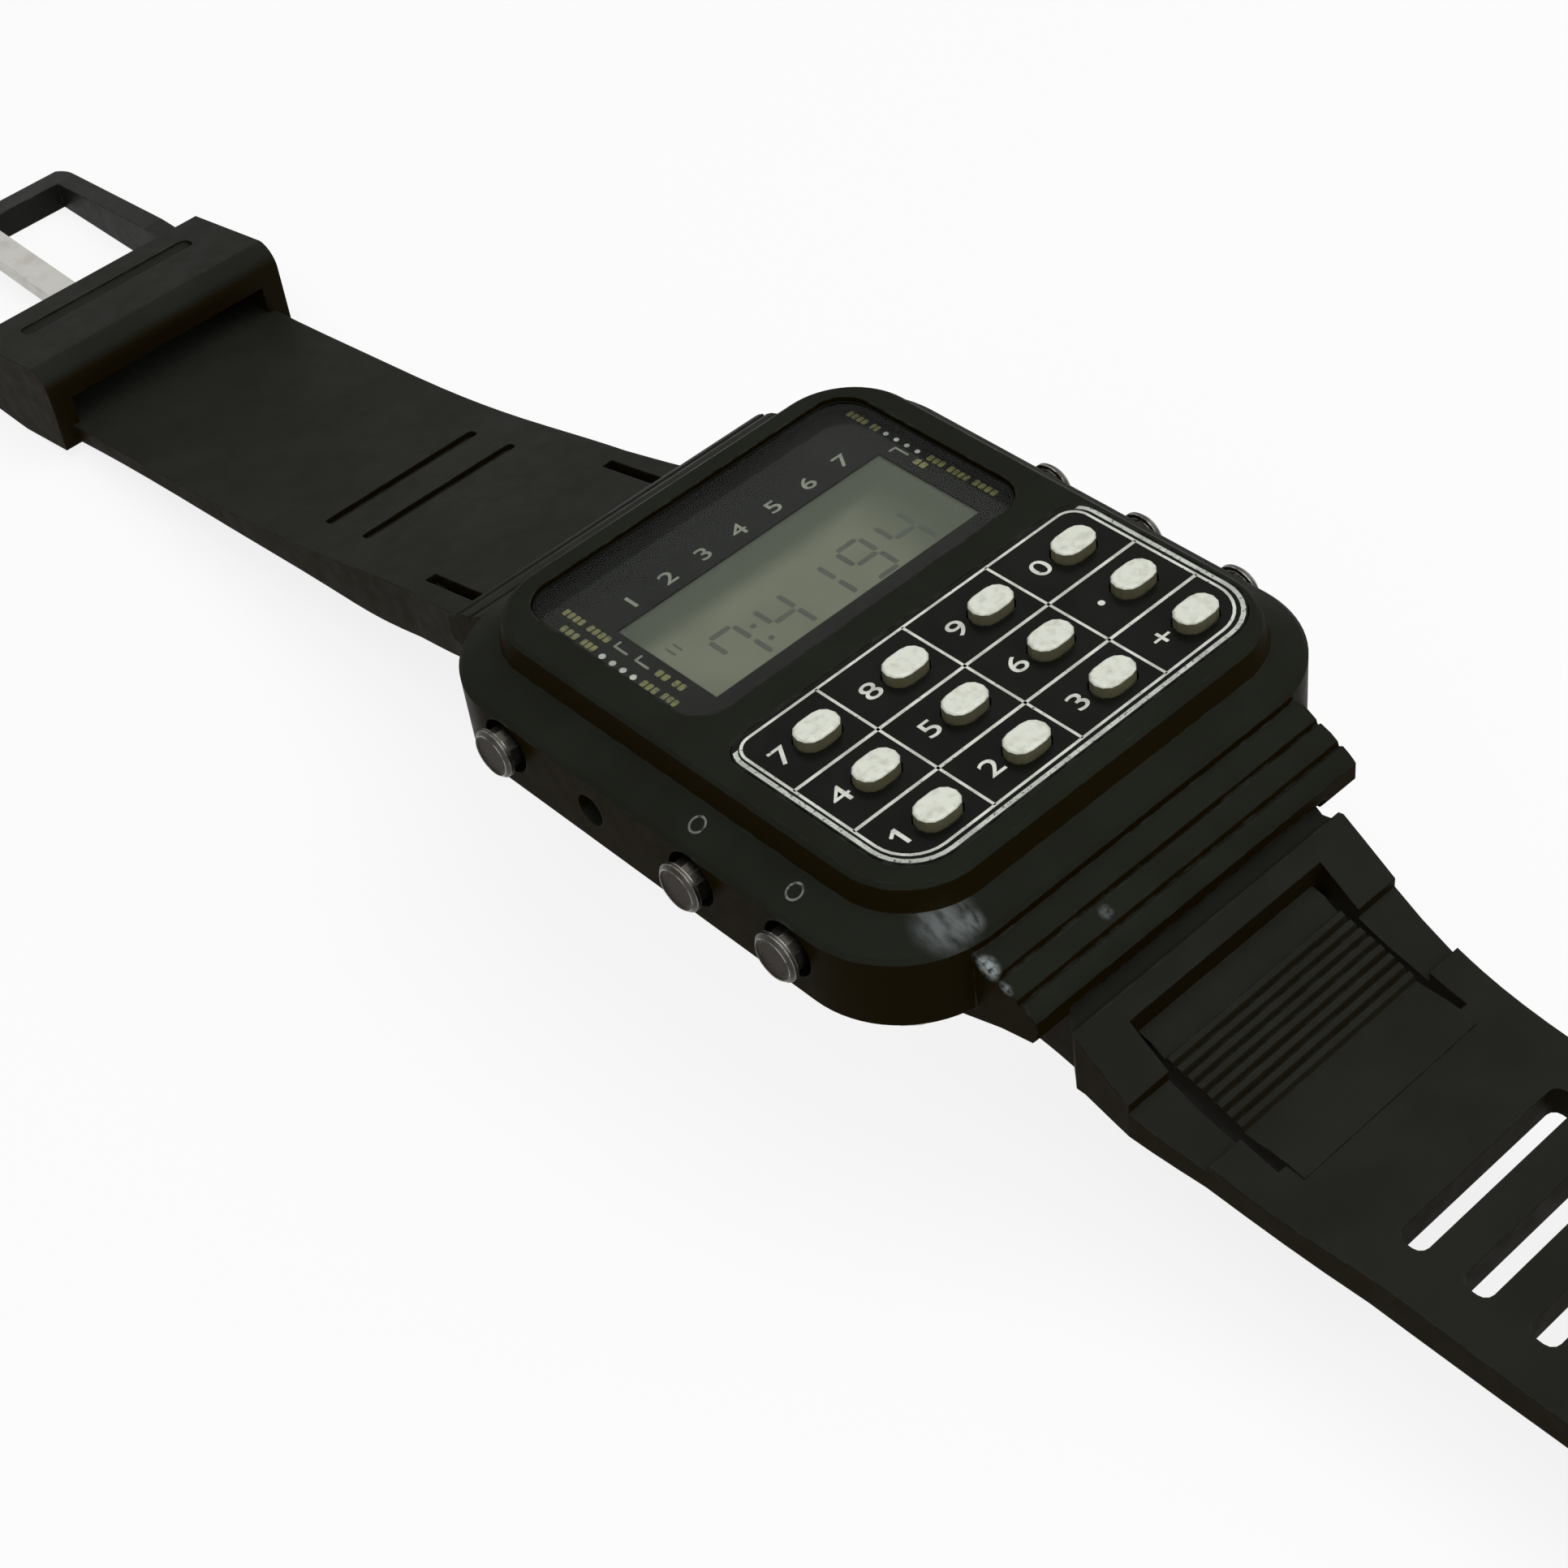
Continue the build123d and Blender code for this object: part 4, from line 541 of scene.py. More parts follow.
@dataclass(frozen=True)
class BandedFinish:
    """The fine dark and light layers of the display's rubber connectors."""

    name: str = "connector_layers"
    light: Colour = (0.45, 0.42, 0.44)
    dark: Colour = (0.03, 0.03, 0.03)
    pitch: float = 0.35
    roughness: float = 0.7
    grain: float = 0.2
    depth: float = 0.004
    edge: float = 0.05

    def make(self) -> bpy.types.Material:
        """Build the material."""
        s = Surface(self.name)
        wave = s.add("ShaderNodeTexWave")
        wave.inputs["Scale"].default_value = WAVE_UNIT / (self.pitch * MM)
        s.link(s.place, wave.inputs["Vector"])
        layers = s.band(wave.outputs["Fac"], 0.4, 0.6)
        s.feed(s.shader.inputs["Base Color"], s.mix(layers, self.dark, self.light))
        s.feed(s.shader.inputs["Roughness"], self.roughness)
        s.bump(s.noise(self.grain), self.depth, s.rounded(self.edge))
        return s.material


WHITE_INK = InkFinish("white_ink", (0.62, 0.64, 0.57), (0.05, 0.05, 0.045), 0.3, 0.25)
WORN_INK = InkFinish("worn_white_ink", (0.5, 0.53, 0.47), (0.06, 0.06, 0.055), 0.36, 0.2)
PLATE_INK = InkFinish("plate_ink", (0.24, 0.25, 0.2), (0.06, 0.06, 0.05), 0.3, 0.2)
GOLD_INK = InkFinish("gold_ink", (0.19, 0.18, 0.062), (0.045, 0.045, 0.02), 0.38, 0.2)
GREY_MARK = InkFinish("rubbed_mark", (0.14, 0.15, 0.13), (0.02, 0.02, 0.017), 0.42, 0.3)
FIGURE_INK = InkFinish(
    "display_figures", (0.045, 0.05, 0.04), (0.08, 0.09, 0.065), 0.3, 0.5)
FIGURE_SHADOW = InkFinish(
    "figure_shadows", (0.105, 0.113, 0.082), (0.125, 0.135, 0.096), 0.35, 0.6)

# Bright patches on the front left shoulder and the ends of the hood's ribs, part wear and part painted
# highlight; the last is a small scuff on the hood.
CASE_SPOTS = (
    WornSpot((-11.8, -16.8, 6.9), 2.1, 0.4, 0.9, (1.6, 0.5, 1.0), level_only=True),
    WornSpot((-13.0, -16.4, 6.6), 0.9, 0.75, 0.4, (1.6, 0.5, 1.0), level_only=True),
    WornSpot((-10.8, -17.5, 6.6), 1.1, 0.75, 0.4, (1.6, 0.5, 1.0), level_only=True),
    WornSpot((-11.9, -19.6, 5.95), 0.95, 1.0, 0.3),
    WornSpot((-12.1, -20.8, 5.4), 0.7, 0.9, 0.3),
    WornSpot((-12.15, -22.3, 4.9), 0.6, 0.8, 0.3),
    WornSpot((-4.95, -20.9, 5.3), 0.5, 0.25, 0.25),
)

CASE_RESIN = MouldedFinish(
    "case_resin", (0.0118, 0.0128, 0.0092), (0.0138, 0.0152, 0.0112),
    roughness=0.38, gloss=0.008, wear=0.25, side_colour=(0.0078, 0.0052, 0.0007), spots=CASE_SPOTS)
STRAP_RESIN = MouldedFinish(
    "strap_resin", (0.013, 0.0137, 0.0106), (0.0152, 0.016, 0.0126),
    roughness=0.5, gloss=0.02, grain=0.16, depth=0.005, wear=0.1,
    side_colour=(0.0085, 0.006, 0.0018))
BUCKLE_RESIN = MouldedFinish(
    "buckle_resin", (0.0095, 0.0098, 0.0082), (0.012, 0.012, 0.01), roughness=0.4, gloss=0.05)
KEYPAD_GLOSS = MouldedFinish(
    "keypad_gloss", (0.0042, 0.0044, 0.0034), (0.006, 0.0063, 0.005),
    roughness=0.26, gloss=0.05, grain=0.4, depth=0.002, edge=0.05, wear=0.5)
PRINTED_PLATE = MouldedFinish(
    "printed_plate", (0.0055, 0.006, 0.0045), (0.007, 0.0075, 0.0058),
    roughness=0.5, gloss=0.03, grain=0.2, depth=0.0003, edge=0.02, wear=0.0)
MODULE_PLASTIC = MouldedFinish(
    "module_plastic", (0.035, 0.036, 0.04), (0.05, 0.05, 0.055), roughness=0.5)
MAT_RUBBER = MouldedFinish(
    "mat_rubber", (0.06, 0.06, 0.058), (0.08, 0.08, 0.078), roughness=0.75, gloss=0.2)
BOARD_LAMINATE = MouldedFinish(
    "board_laminate", (0.02, 0.11, 0.035), (0.015, 0.075, 0.025),
    roughness=0.35, gloss=0.45, grain=0.3)
CHIP_EPOXY = MouldedFinish(
    "chip_epoxy", (0.012, 0.012, 0.012), (0.02, 0.02, 0.02), roughness=0.5)
ADJUST_PLASTIC = MouldedFinish(
    "adjust_plastic", (0.03, 0.03, 0.03), (0.05, 0.048, 0.04), roughness=0.45)

BACK_STEEL = MetalFinish("back_steel", (0.58, 0.57, 0.54), 0.32, Brush.ALONG_X)
PIN_STEEL = MetalFinish("pin_steel", (0.55, 0.55, 0.53), 0.3)
SPRING_WIRE = MetalFinish("spring_wire", (0.6, 0.6, 0.6), 0.25)
CELL_STEEL = MetalFinish("cell_steel", (0.62, 0.61, 0.58), 0.28)
BUTTON_METAL = MetalFinish(
    "button_metal", (0.055, 0.052, 0.046), 0.34, tarnish=(0.02, 0.013, 0.008), tarnish_share=0.6,
    rim_share=0.75, end_colour=(0.02, 0.0145, 0.009))
CAN_METAL = MetalFinish("can_metal", (0.66, 0.65, 0.6), 0.2)
TRIM_BRASS = MetalFinish("trim_brass", (0.62, 0.45, 0.18), 0.3)
FOIL = MetalFinish("reflector_foil", (0.7, 0.7, 0.67), 0.4)
TONGUE_STEEL = MetalFinish("tongue_steel", (0.5, 0.49, 0.46), 0.33, Brush.ALONG_Y)

WINDOW_GLASS = GlassFinish("window_glass", rim=(0.006, 0.0066, 0.005))
LAMP_GLASS = GlassFinish("lamp_glass", (0.95, 0.9, 0.7))


def coat(nodes: Iterable[str], material: bpy.types.Material) -> None:
    """Give CAD nodes a material.

    Args:
        nodes: Their names.
        material: The material.
    """
    for name in nodes:
        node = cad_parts[name]
        if not node.material_slots:
            node.data.materials.append(material)
        for entry in node.material_slots:
            entry.material = material


def finished(bm: bmesh.types.BMesh, name: str, material: bpy.types.Material,
             body: str) -> bpy.types.Object:
    """Turn a bmesh into a piece that rides on a body.

    Args:
        bm: The shape, in metres, in place.
        name: The piece's name.
        material: Its material.
        body: The body that it rides on.

    Returns:
        The piece.
    """
    bmesh.ops.recalc_face_normals(bm, faces=bm.faces[:])
    mesh = bpy.data.meshes.new(name)
    bm.to_mesh(mesh)
    bm.free()
    mesh.materials.append(material)
    piece = bpy.data.objects.new(name, mesh)
    bpy.context.scene.collection.objects.link(piece)
    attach(piece, body)
    return piece


def raise_faces(bm: bmesh.types.BMesh, faces: Sequence[bmesh.types.BMFace],
                height: float) -> None:
    """Give flat faces a thickness.

    Args:
        bm: The mesh that holds them.
        faces: The flat faces.
        height: The thickness in metres, upwards.
    """
    grown = bmesh.ops.extrude_face_region(bm, geom=list(faces))
    tops = [item for item in grown["geom"] if isinstance(item, bmesh.types.BMVert)]
    bmesh.ops.translate(bm, verts=tops, vec=(0, 0, height))


@dataclass
class PrintLayer:
    """Flat ink shapes that lie on one level surface, all sizes in millimetres."""

    level: float
    thickness: float = 0.02
    bar_corner: float = 0.25
    round_sides: int = 20
    corner_chords: int = 8
    bm: bmesh.types.BMesh = field(default_factory=bmesh.new)

    def bar(self, x: float, y: float, width: float, height: float, turn: float = 0.0) -> None:
        """Add a bar with softened corners.

        Args:
            x: Its middle.
            y: Its middle.
            width: Its size along X in millimetres.
            height: Its size along Y in millimetres.
            turn: Its turn about Z, in radians.
        """
        sheet = bmesh.new()
        bmesh.ops.create_grid(sheet, x_segments=1, y_segments=1, size=0.5)
        bmesh.ops.scale(sheet, vec=(width * MM, height * MM, 1.0), verts=sheet.verts[:])
        bmesh.ops.bevel(sheet, geom=sheet.verts[:], offset=self.bar_corner * min(width, height) * MM,
                        offset_type="OFFSET", segments=2, profile=0.5, affect="VERTICES", material=-1)
        bmesh.ops.rotate(sheet, cent=(0, 0, 0), matrix=Matrix.Rotation(turn, 3, "Z"),
                         verts=sheet.verts[:])
        bmesh.ops.translate(sheet, vec=(x * MM, y * MM, self.level * MM), verts=sheet.verts[:])
        raise_faces(sheet, sheet.faces[:], self.thickness * MM)
        self.take(sheet)

    def dot(self, x: float, y: float, radius: float, hole: float = 0.0) -> None:
        """Add a round dot, or a ring where it has a hole.

        Args:
            x: Its middle.
            y: Its middle.
            radius: Its radius in millimetres.
            hole: The radius of the hole in millimetres.
        """
        made = bmesh.ops.create_circle(self.bm, cap_ends=True, segments=self.round_sides,
                                       radius=radius * MM)
        verts = made["verts"]
        bmesh.ops.translate(self.bm, vec=(x * MM, y * MM, self.level * MM), verts=verts)
        faces = list({f for v in verts for f in v.link_faces})
        if hole:
            rim = bmesh.ops.inset_region(self.bm, faces=faces, thickness=(radius - hole) * MM,
                                         use_boundary=True, use_even_offset=True)
            bmesh.ops.delete(self.bm, geom=faces, context="FACES_ONLY")
            faces = rim["faces"]
        raise_faces(self.bm, faces, self.thickness * MM)

    def frame_line(self, low: Point, high: Point, corners: tuple[float, float],
                   width: float, open_above: float | None = None) -> None:
        """Add a line round a rectangle with rounded corners.

        Args:
            low: The lowest corner (X, Y) in millimetres.
            high: The highest corner (X, Y) in millimetres.
            corners: The corner radii at the low Y and at the high Y side.
            width: The width of the line.
            open_above: The Y above which the line is left out, if any.
        """
        sheet = bmesh.new()
        made = bmesh.ops.create_grid(sheet, x_segments=1, y_segments=1, size=0.5)
        wide, long = high[0] - low[0], high[1] - low[1]
        bmesh.ops.scale(sheet, vec=(wide * MM, long * MM, 1.0), verts=made["verts"])
        for radius, sign in zip(corners, (-1, 1)):
            ends = [v for v in sheet.verts
                    if v.co.y * sign > 0 and abs(v.co.x) > CORNER_REACH * wide * MM
                    and abs(v.co.y) > CORNER_REACH * long * MM]
            bmesh.ops.bevel(sheet, geom=ends, offset=radius * MM, offset_type="OFFSET",
                            segments=self.corner_chords, profile=0.5, affect="VERTICES", material=-1)
        inner = sheet.faces[:]
        bmesh.ops.inset_region(sheet, faces=inner, thickness=width * MM, use_boundary=True,
                               use_even_offset=True)
        bmesh.ops.delete(sheet, geom=inner, context="FACES_ONLY")
        middle = ((low[0] + high[0]) / 2, (low[1] + high[1]) / 2)
        bmesh.ops.translate(sheet, vec=(middle[0] * MM, middle[1] * MM, self.level * MM),
                            verts=sheet.verts[:])
        if open_above is not None:
            bmesh.ops.bisect_plane(sheet, geom=sheet.verts[:] + sheet.edges[:] + sheet.faces[:],
                                   plane_co=(0, open_above * MM, 0), plane_no=(0, 1, 0),
                                   clear_outer=True)
        raise_faces(sheet, sheet.faces[:], self.thickness * MM)
        self.take(sheet)

    def figure(self, text: str, x: float, y: float, height: float, stretch: float = 1.0,
               bold: float = 0.006) -> None:
        """Add plain lettering with its middle at a place.

        Args:
            text: The figure or sign.
            x: The middle.
            y: The middle.
            height: The height of a figure in millimetres.
            stretch: How much wider it is than the font has it.
            bold: How much its strokes are thickened, as a share of its height.
        """
        curve = bpy.data.curves.new("figure", "FONT")
        curve.body = text
        curve.size = height / FIGURE_SHARE
        curve.align_x = "CENTER"
        curve.align_y = "CENTER"
        curve.offset = bold * height
        curve.extrude = self.thickness / 2
        holder = bpy.data.objects.new("figure", curve)
        bpy.context.scene.collection.objects.link(holder)
        bpy.context.view_layer.update()
        drawn = holder.evaluated_get(bpy.context.evaluated_depsgraph_get())
        mesh = bpy.data.meshes.new_from_object(drawn)
        place = Matrix.Translation((x * MM, y * MM, (self.level + self.thickness / 2) * MM))
        mesh.transform(place @ Matrix.Diagonal((stretch * MM, MM, MM, 1.0)))
        self.bm.from_mesh(mesh)
        bpy.data.meshes.remove(mesh)
        bpy.data.objects.remove(holder)
        bpy.data.curves.remove(curve)

    def take(self, other: bmesh.types.BMesh) -> None:
        """Join another bmesh to this layer and free it."""
        mesh = bpy.data.meshes.new("sheet")
        other.to_mesh(mesh)
        other.free()
        self.bm.from_mesh(mesh)
        bpy.data.meshes.remove(mesh)


@dataclass
class KeypadPrint:
    """The white lines, figures and signs round the keys, in millimetres."""

    level: float = 9.195
    key_x: tuple[float, ...] = (-8.1, -1.85, 4.4, 10.65)
    key_y: tuple[float, ...] = (-4.45, -8.71, -12.97)
    figures: tuple[str, ...] = ("7890", "456.", "123+")
    figure_shift: Point = (-2.25, 0.2)
    figure_height: float = 1.3
    figure_stretch: float = 1.3
    point_radius: float = 0.2
    flag_shift: Point = (-0.28, 0.42)
    flag_size: Point = (0.5, 0.2)
    flag_turn: float = 0.6
    inner_low: Point = (-11.75, -14.75)
    inner_high: Point = (13.3, -1.85)
    inner_corners: tuple[float, float] = (2.5, 1.2)
    outer_low: Point = (-12.15, -15.25)
    outer_high: Point = (13.75, -1.62)
    outer_corners: tuple[float, float] = (2.9, 1.5)
    outer_opening: float = 0.6
    line: float = 0.17
    rail_share: float = 1.15
    outer_share: float = 1.5
    post_x: tuple[float, ...] = (-5.85, 0.35, 6.55)
    rail_y: tuple[float, ...] = (-6.5, -10.75)

    def build(self) -> list[bpy.types.Object]:
        """Build the printing on the keypad plate.

        Returns:
            The pieces.
        """
        lines = PrintLayer(self.level)
        lines.frame_line(self.inner_low, self.inner_high, self.inner_corners, self.line)
        height = self.inner_high[1] - self.inner_low[1]
        width = self.inner_high[0] - self.inner_low[0]
        middle = ((self.inner_low[0] + self.inner_high[0]) / 2,
                  (self.inner_low[1] + self.inner_high[1]) / 2)
        for x in self.post_x:
            lines.bar(x, middle[1], self.line, height - self.line)
        for y in self.rail_y:
            lines.bar(middle[0], y, width - self.line, self.rail_share * self.line)
        rim = PrintLayer(self.level)
        rim.frame_line(self.outer_low, self.outer_high, self.outer_corners,
                       self.outer_share * self.line, self.outer_high[1] - self.outer_opening)
        signs = PrintLayer(self.level)
        for row, y in zip(self.figures, self.key_y):
            for sign, x in zip(row, self.key_x):
                where = (x + self.figure_shift[0], y + self.figure_shift[1])
                if sign == ".":
                    signs.dot(*where, self.point_radius)
                else:
                    signs.figure(sign, *where, self.figure_height, self.figure_stretch)
                if sign == "1":
                    signs.bar(where[0] + self.flag_shift[0], where[1] + self.flag_shift[1],
                              *self.flag_size, self.flag_turn)
        ink = WHITE_INK.make()
        return [
            finished(lines.bm, "keypad_lines", ink, "head"),
            finished(rim.bm, "keypad_rim_line", WORN_INK.make(), "head"),
            finished(signs.bm, "keypad_figures", ink, "head"),
        ]


@dataclass
class FacePrint:
    """The small print on the plate behind the window, in millimetres.

    The angles are their upright's middle and the side that their arm points away from. The dash
    rows are their X and the Y of their two ends. All of it is shifted against the window's bend.
    """

    level: float = 7.895
    day_x: tuple[float, ...] = (-6.97, -4.36, -1.75, 0.86, 3.47, 6.08, 8.69)
    day_y: float = 11.35
    day_height: float = 1.05
    day_stretch: float = 1.35
    day_bold: float = 0.009
    dot_y: tuple[float, ...] = (9.3, 8.46, 7.62, 6.78)
    dot_radius: float = 0.2
    left_dot_x: float = -10.85
    right_dot_x: float = 12.0
    right_dot_lift: float = 1.9
    right_dot_share: float = 0.8
    angles: tuple[tuple[float, float, int], ...] = (
        (-9.9, 8.9, -1), (-9.9, 7.2, -1), (11.45, 9.4, 1))
    upright_size: Point = (0.14, 1.1)
    arm_size: Point = (0.5, 0.13)
    arm_shift: Point = (0.22, 0.5)
    dash_rows: tuple[tuple[float, float, float], ...] = (
        (-9.8, 13.7, 12.0), (-9.8, 11.7, 9.9), (-10.75, 12.8, 11.4), (-10.75, 11.1, 9.95),
        (-9.75, 6.2, 5.2), (-9.7, 4.9, 4.0), (-10.8, 6.2, 4.9), (-10.75, 4.6, 3.4),
        (12.0, 14.3, 12.7), (12.0, 12.4, 11.75), (12.05, 7.9, 6.6), (12.05, 6.3, 4.7),
        (12.1, 4.4, 2.6), (11.35, 8.3, 7.3),
    )
    dash_pitch: float = 0.42
    dash_width: float = 0.48
    dash_share: float = 0.76
    shift: Point = (0.15, 0.2)

    def build(self) -> list[bpy.types.Object]:
        """Build the printing round the display.

        Returns:
            The pieces.
        """
        grey = PrintLayer(self.level)
        for count, x in enumerate(self.day_x, start=1):
            grey.figure(str(count), x, self.day_y, self.day_height, self.day_stretch,
                        self.day_bold)
        white = PrintLayer(self.level)
        for y in self.dot_y:
            white.dot(self.left_dot_x, y, self.dot_radius)
            white.dot(self.right_dot_x, y + self.right_dot_lift,
                      self.right_dot_share * self.dot_radius)
        for x, y, side in self.angles:
            grey.bar(x, y, *self.upright_size)
            grey.bar(x - self.arm_shift[0] * side, y + self.arm_shift[1], *self.arm_size)
        gold = PrintLayer(self.level)
        for x, start, end in self.dash_rows:
            count = max(2, round((start - end) / self.dash_pitch))
            step = (start - end) / count
            for number in range(count):
                gold.bar(x, start - (number + 0.5) * step, self.dash_width, self.dash_share * step)
        for layer in (grey, white, gold):
            bmesh.ops.translate(layer.bm, vec=(self.shift[0] * MM, self.shift[1] * MM, 0),
                                verts=layer.bm.verts[:])
        return [
            finished(grey.bm, "face_marks", PLATE_INK.make(), "head"),
            finished(white.bm, "face_dots", WHITE_INK.make(), "head"),
            finished(gold.bm, "face_gold_bars", GOLD_INK.make(), "head"),
        ]


@dataclass
class WindowBorder:
    """The dark printed border round the window's upper face, which also stands in as a painted shadow
    line round the window's recess, in millimetres.
    """

    level: float = 8.945
    thickness: float = 0.012
    low: Point = (-11.6, 0.6)
    high: Point = (12.6, 15.35)
    corner: float = 2.0
    width: float = 0.14

    def build(self) -> bpy.types.Object:
        """Build the border."""
        layer = PrintLayer(self.level, self.thickness)
        layer.frame_line(self.low, self.high, (self.corner, self.corner), self.width)
        return finished(layer.bm, "window_border", PRINTED_PLATE.make(), "head")


class Stroke(Enum):
    """The seven strokes of a display figure.

    Each is the X and Y of its middle in shares of the figure's size, and whether it lies level.
    """

    TOP = (0.0, 0.5, True)
    HIGH_LEFT = (-0.5, 0.25, False)
    HIGH_RIGHT = (0.5, 0.25, False)
    MIDDLE = (0.0, 0.0, True)
    LOW_LEFT = (-0.5, -0.25, False)
    LOW_RIGHT = (0.5, -0.25, False)
    BOTTOM = (0.0, -0.5, True)


SHOWN = {
    "1": (Stroke.HIGH_RIGHT, Stroke.LOW_RIGHT),
    "4": (Stroke.HIGH_LEFT, Stroke.HIGH_RIGHT, Stroke.MIDDLE, Stroke.LOW_RIGHT),
    "7": (Stroke.HIGH_LEFT, Stroke.TOP, Stroke.HIGH_RIGHT, Stroke.LOW_RIGHT),
    "9": (Stroke.HIGH_LEFT, Stroke.TOP, Stroke.HIGH_RIGHT, Stroke.MIDDLE, Stroke.LOW_RIGHT,
          Stroke.BOTTOM),
}


@dataclass
class DisplayFigures:
    """The dark figures of the liquid crystal display, in millimetres."""

    level: float = 7.745
    thickness: float = 0.015
    middle_y: float = 4.55
    figures: tuple[tuple[str, float], ...] = (
        ("7", -5.3), ("4", -2.1), ("1", 0.9), ("9", 4.0), ("4", 6.9))
    width: float = 1.7
    height: float = 3.3
    stroke: float = 0.32
    stroke_end: float = 1.05
    colon_x: float = -3.75
    colon_y: float = 0.7
    mark_x: tuple[float, ...] = (-8.0, -7.5)
    mark_y: float = 7.1
    mark_size: Point = (0.14, 0.8)
    shadow_drop: float = 0.004
    shadow_thickness: float = 0.006
    shadow_shift: Point = (0.24, 0.3)

    def layer(self, level: float, thickness: float, shift: Point) -> PrintLayer:
        """Lay out the figures.

        Args:
            level: The Z of their underside in millimetres.
            thickness: Their thickness in millimetres.
            shift: How far they are moved along X and Y, in millimetres.

        Returns:
            The layer that holds them.
        """
        layer = PrintLayer(level, thickness)
        for sign, x in self.figures:
            for part in SHOWN[sign]:
                share_x, share_y, flat = part.value
                length = (self.width if flat else self.height / 2) - self.stroke_end * self.stroke
                size = (length, self.stroke) if flat else (self.stroke, length)
                layer.bar(x + share_x * self.width, self.middle_y + share_y * self.height, *size)
        for up in (-self.colon_y, self.colon_y):
            layer.bar(self.colon_x, self.middle_y + up, self.stroke, self.stroke)
        for x in self.mark_x:
            layer.bar(x, self.mark_y, *self.mark_size)
        bmesh.ops.translate(layer.bm, vec=(shift[0] * MM, shift[1] * MM, 0),
                            verts=layer.bm.verts[:])
        return layer

    def build(self) -> list[bpy.types.Object]:
        """Build the figures and the shadows that they throw on the reflector.

        Returns:
            The pieces that hold them.
        """
        dark = self.layer(self.level, self.thickness, (0.0, 0.0))
        shadow = self.layer(self.level - self.shadow_drop, self.shadow_thickness,
                            self.shadow_shift)
        return [
            finished(dark.bm, "display_figures", FIGURE_INK.make(), "head"),
            finished(shadow.bm, "display_figure_shadows", FIGURE_SHADOW.make(), "head"),
        ]


@dataclass
class ShoulderMarks:
    """Two faint ring marks on the case's shoulder beside the lower left buttons, in millimetres."""

    places: tuple[Point, ...] = ((-15.3, -3.05), (-15.25, -10.1))
    radius: float = 0.5
    line: float = 0.12
    thickness: float = 0.012
    sunk: float = 0.002
    start_z: float = 20.0

    def build(self) -> bpy.types.Object:
        """Build the marks and lay them on the sloping shoulder.

        Returns:
            The piece that holds them.
        """
        layer = PrintLayer(0.0, self.thickness)
        for place in self.places:
            layer.dot(*place, self.radius, self.radius - self.line)
        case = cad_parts["case"]
        for vert in layer.bm.verts:
            lift = vert.co.z
            start = Vector((vert.co.x, vert.co.y, self.start_z * MM))
            hit, where, _, _ = case.ray_cast(start, Vector((0, 0, -1)))
            if hit:
                vert.co.z = where.z + lift - self.sunk * MM
        return finished(layer.bm, "shoulder_marks", GREY_MARK.make(), "head")


@dataclass
class HeadDress:
    """The finishes of the case, the display, the keypad, the module and the back."""

    labels: tuple[str, ...] = (
        "7", "8", "9", "0", "4", "5", "6", "point", "1", "2", "3", "plus")

    def dress(self) -> None:
        """Give each piece of the head its finish."""
        coat(["case"], CASE_RESIN.make())
        coat(["display_window"], WINDOW_GLASS.make())
        coat(["face_plate"], PRINTED_PLATE.make())
        coat(["lcd_panel"], DisplayFinish().make())
        coat(["lcd_reflector"], FOIL.make())
        coat(["lcd_connectors"], BandedFinish().make())
        coat(["lcd_frame", "module_holder"], MODULE_PLASTIC.make())
        coat(["lamp"], LAMP_GLASS.make())
        coat(["keypad_plate"], KEYPAD_GLOSS.make())
        coat(["key_mat", "case_gasket"], MAT_RUBBER.make())
        coat(["circuit_board"], BOARD_LAMINATE.make())
        coat(["chip"], CHIP_EPOXY.make())
        coat(["quartz_can"], CAN_METAL.make())
        coat(["trimmer"], TRIM_BRASS.make())
        coat(["battery", "battery_clamp"], CELL_STEEL.make())
        coat(["case_back"], BACK_STEEL.make())
        coat(["module_screws", "back_screws", "spring_bar_top", "spring_bar_tail"], PIN_STEEL.make())
        coat([f"key_{label}" for label in self.labels], KeyFinish().make())


@dataclass
class SideButtons:
    """The six side buttons, their springs and clips, and the adjusting pusher."""

    names: tuple[str, ...] = (
        "left_top", "left_mid", "left_low", "right_top", "right_mid", "right_low")

    def dress(self) -> None:
        """Give the buttons and what belongs to them their finishes."""
        coat([f"button_{name}" for name in self.names], BUTTON_METAL.make())
        coat([f"button_clip_{name}" for name in self.names], PIN_STEEL.make())
        coat([f"button_spring_{name}" for name in self.names], SPRING_WIRE.make())
        coat(["adjust_pusher"], ADJUST_PLASTIC.make())


@dataclass
class Strap:
    """The two strap halves and the buckle."""

    def dress(self) -> None:
        """Give the strap and the buckle their finishes."""
        coat(["strap_top", "strap_tail"], STRAP_RESIN.make())
        coat(["buckle_frame"], BUCKLE_RESIN.make())
        coat(["buckle_bar"], PIN_STEEL.make())
        coat(["buckle_tongue"], TONGUE_STEEL.make())


@dataclass(frozen=True)
class Lamp:
    """A soft square lamp: its place and side in millimetres and its power in watts."""

    name: str
    place: Place
    size: float
    power: float
    aim: Place = (0.0, 0.0, 0.0)

    def hang(self) -> None:
        """Hang the lamp and turn it to its aim."""
        data = bpy.data.lights.new(self.name, "AREA")
        data.size = self.size * MM
        data.energy = self.power
        lamp = bpy.data.objects.new(self.name, data)
        lamp.location = Vector(self.place) * MM
        lamp.rotation_euler = (Vector(self.aim) - Vector(self.place)).to_track_quat("-Z", "Y").to_euler()
        bpy.context.scene.collection.objects.link(lamp)


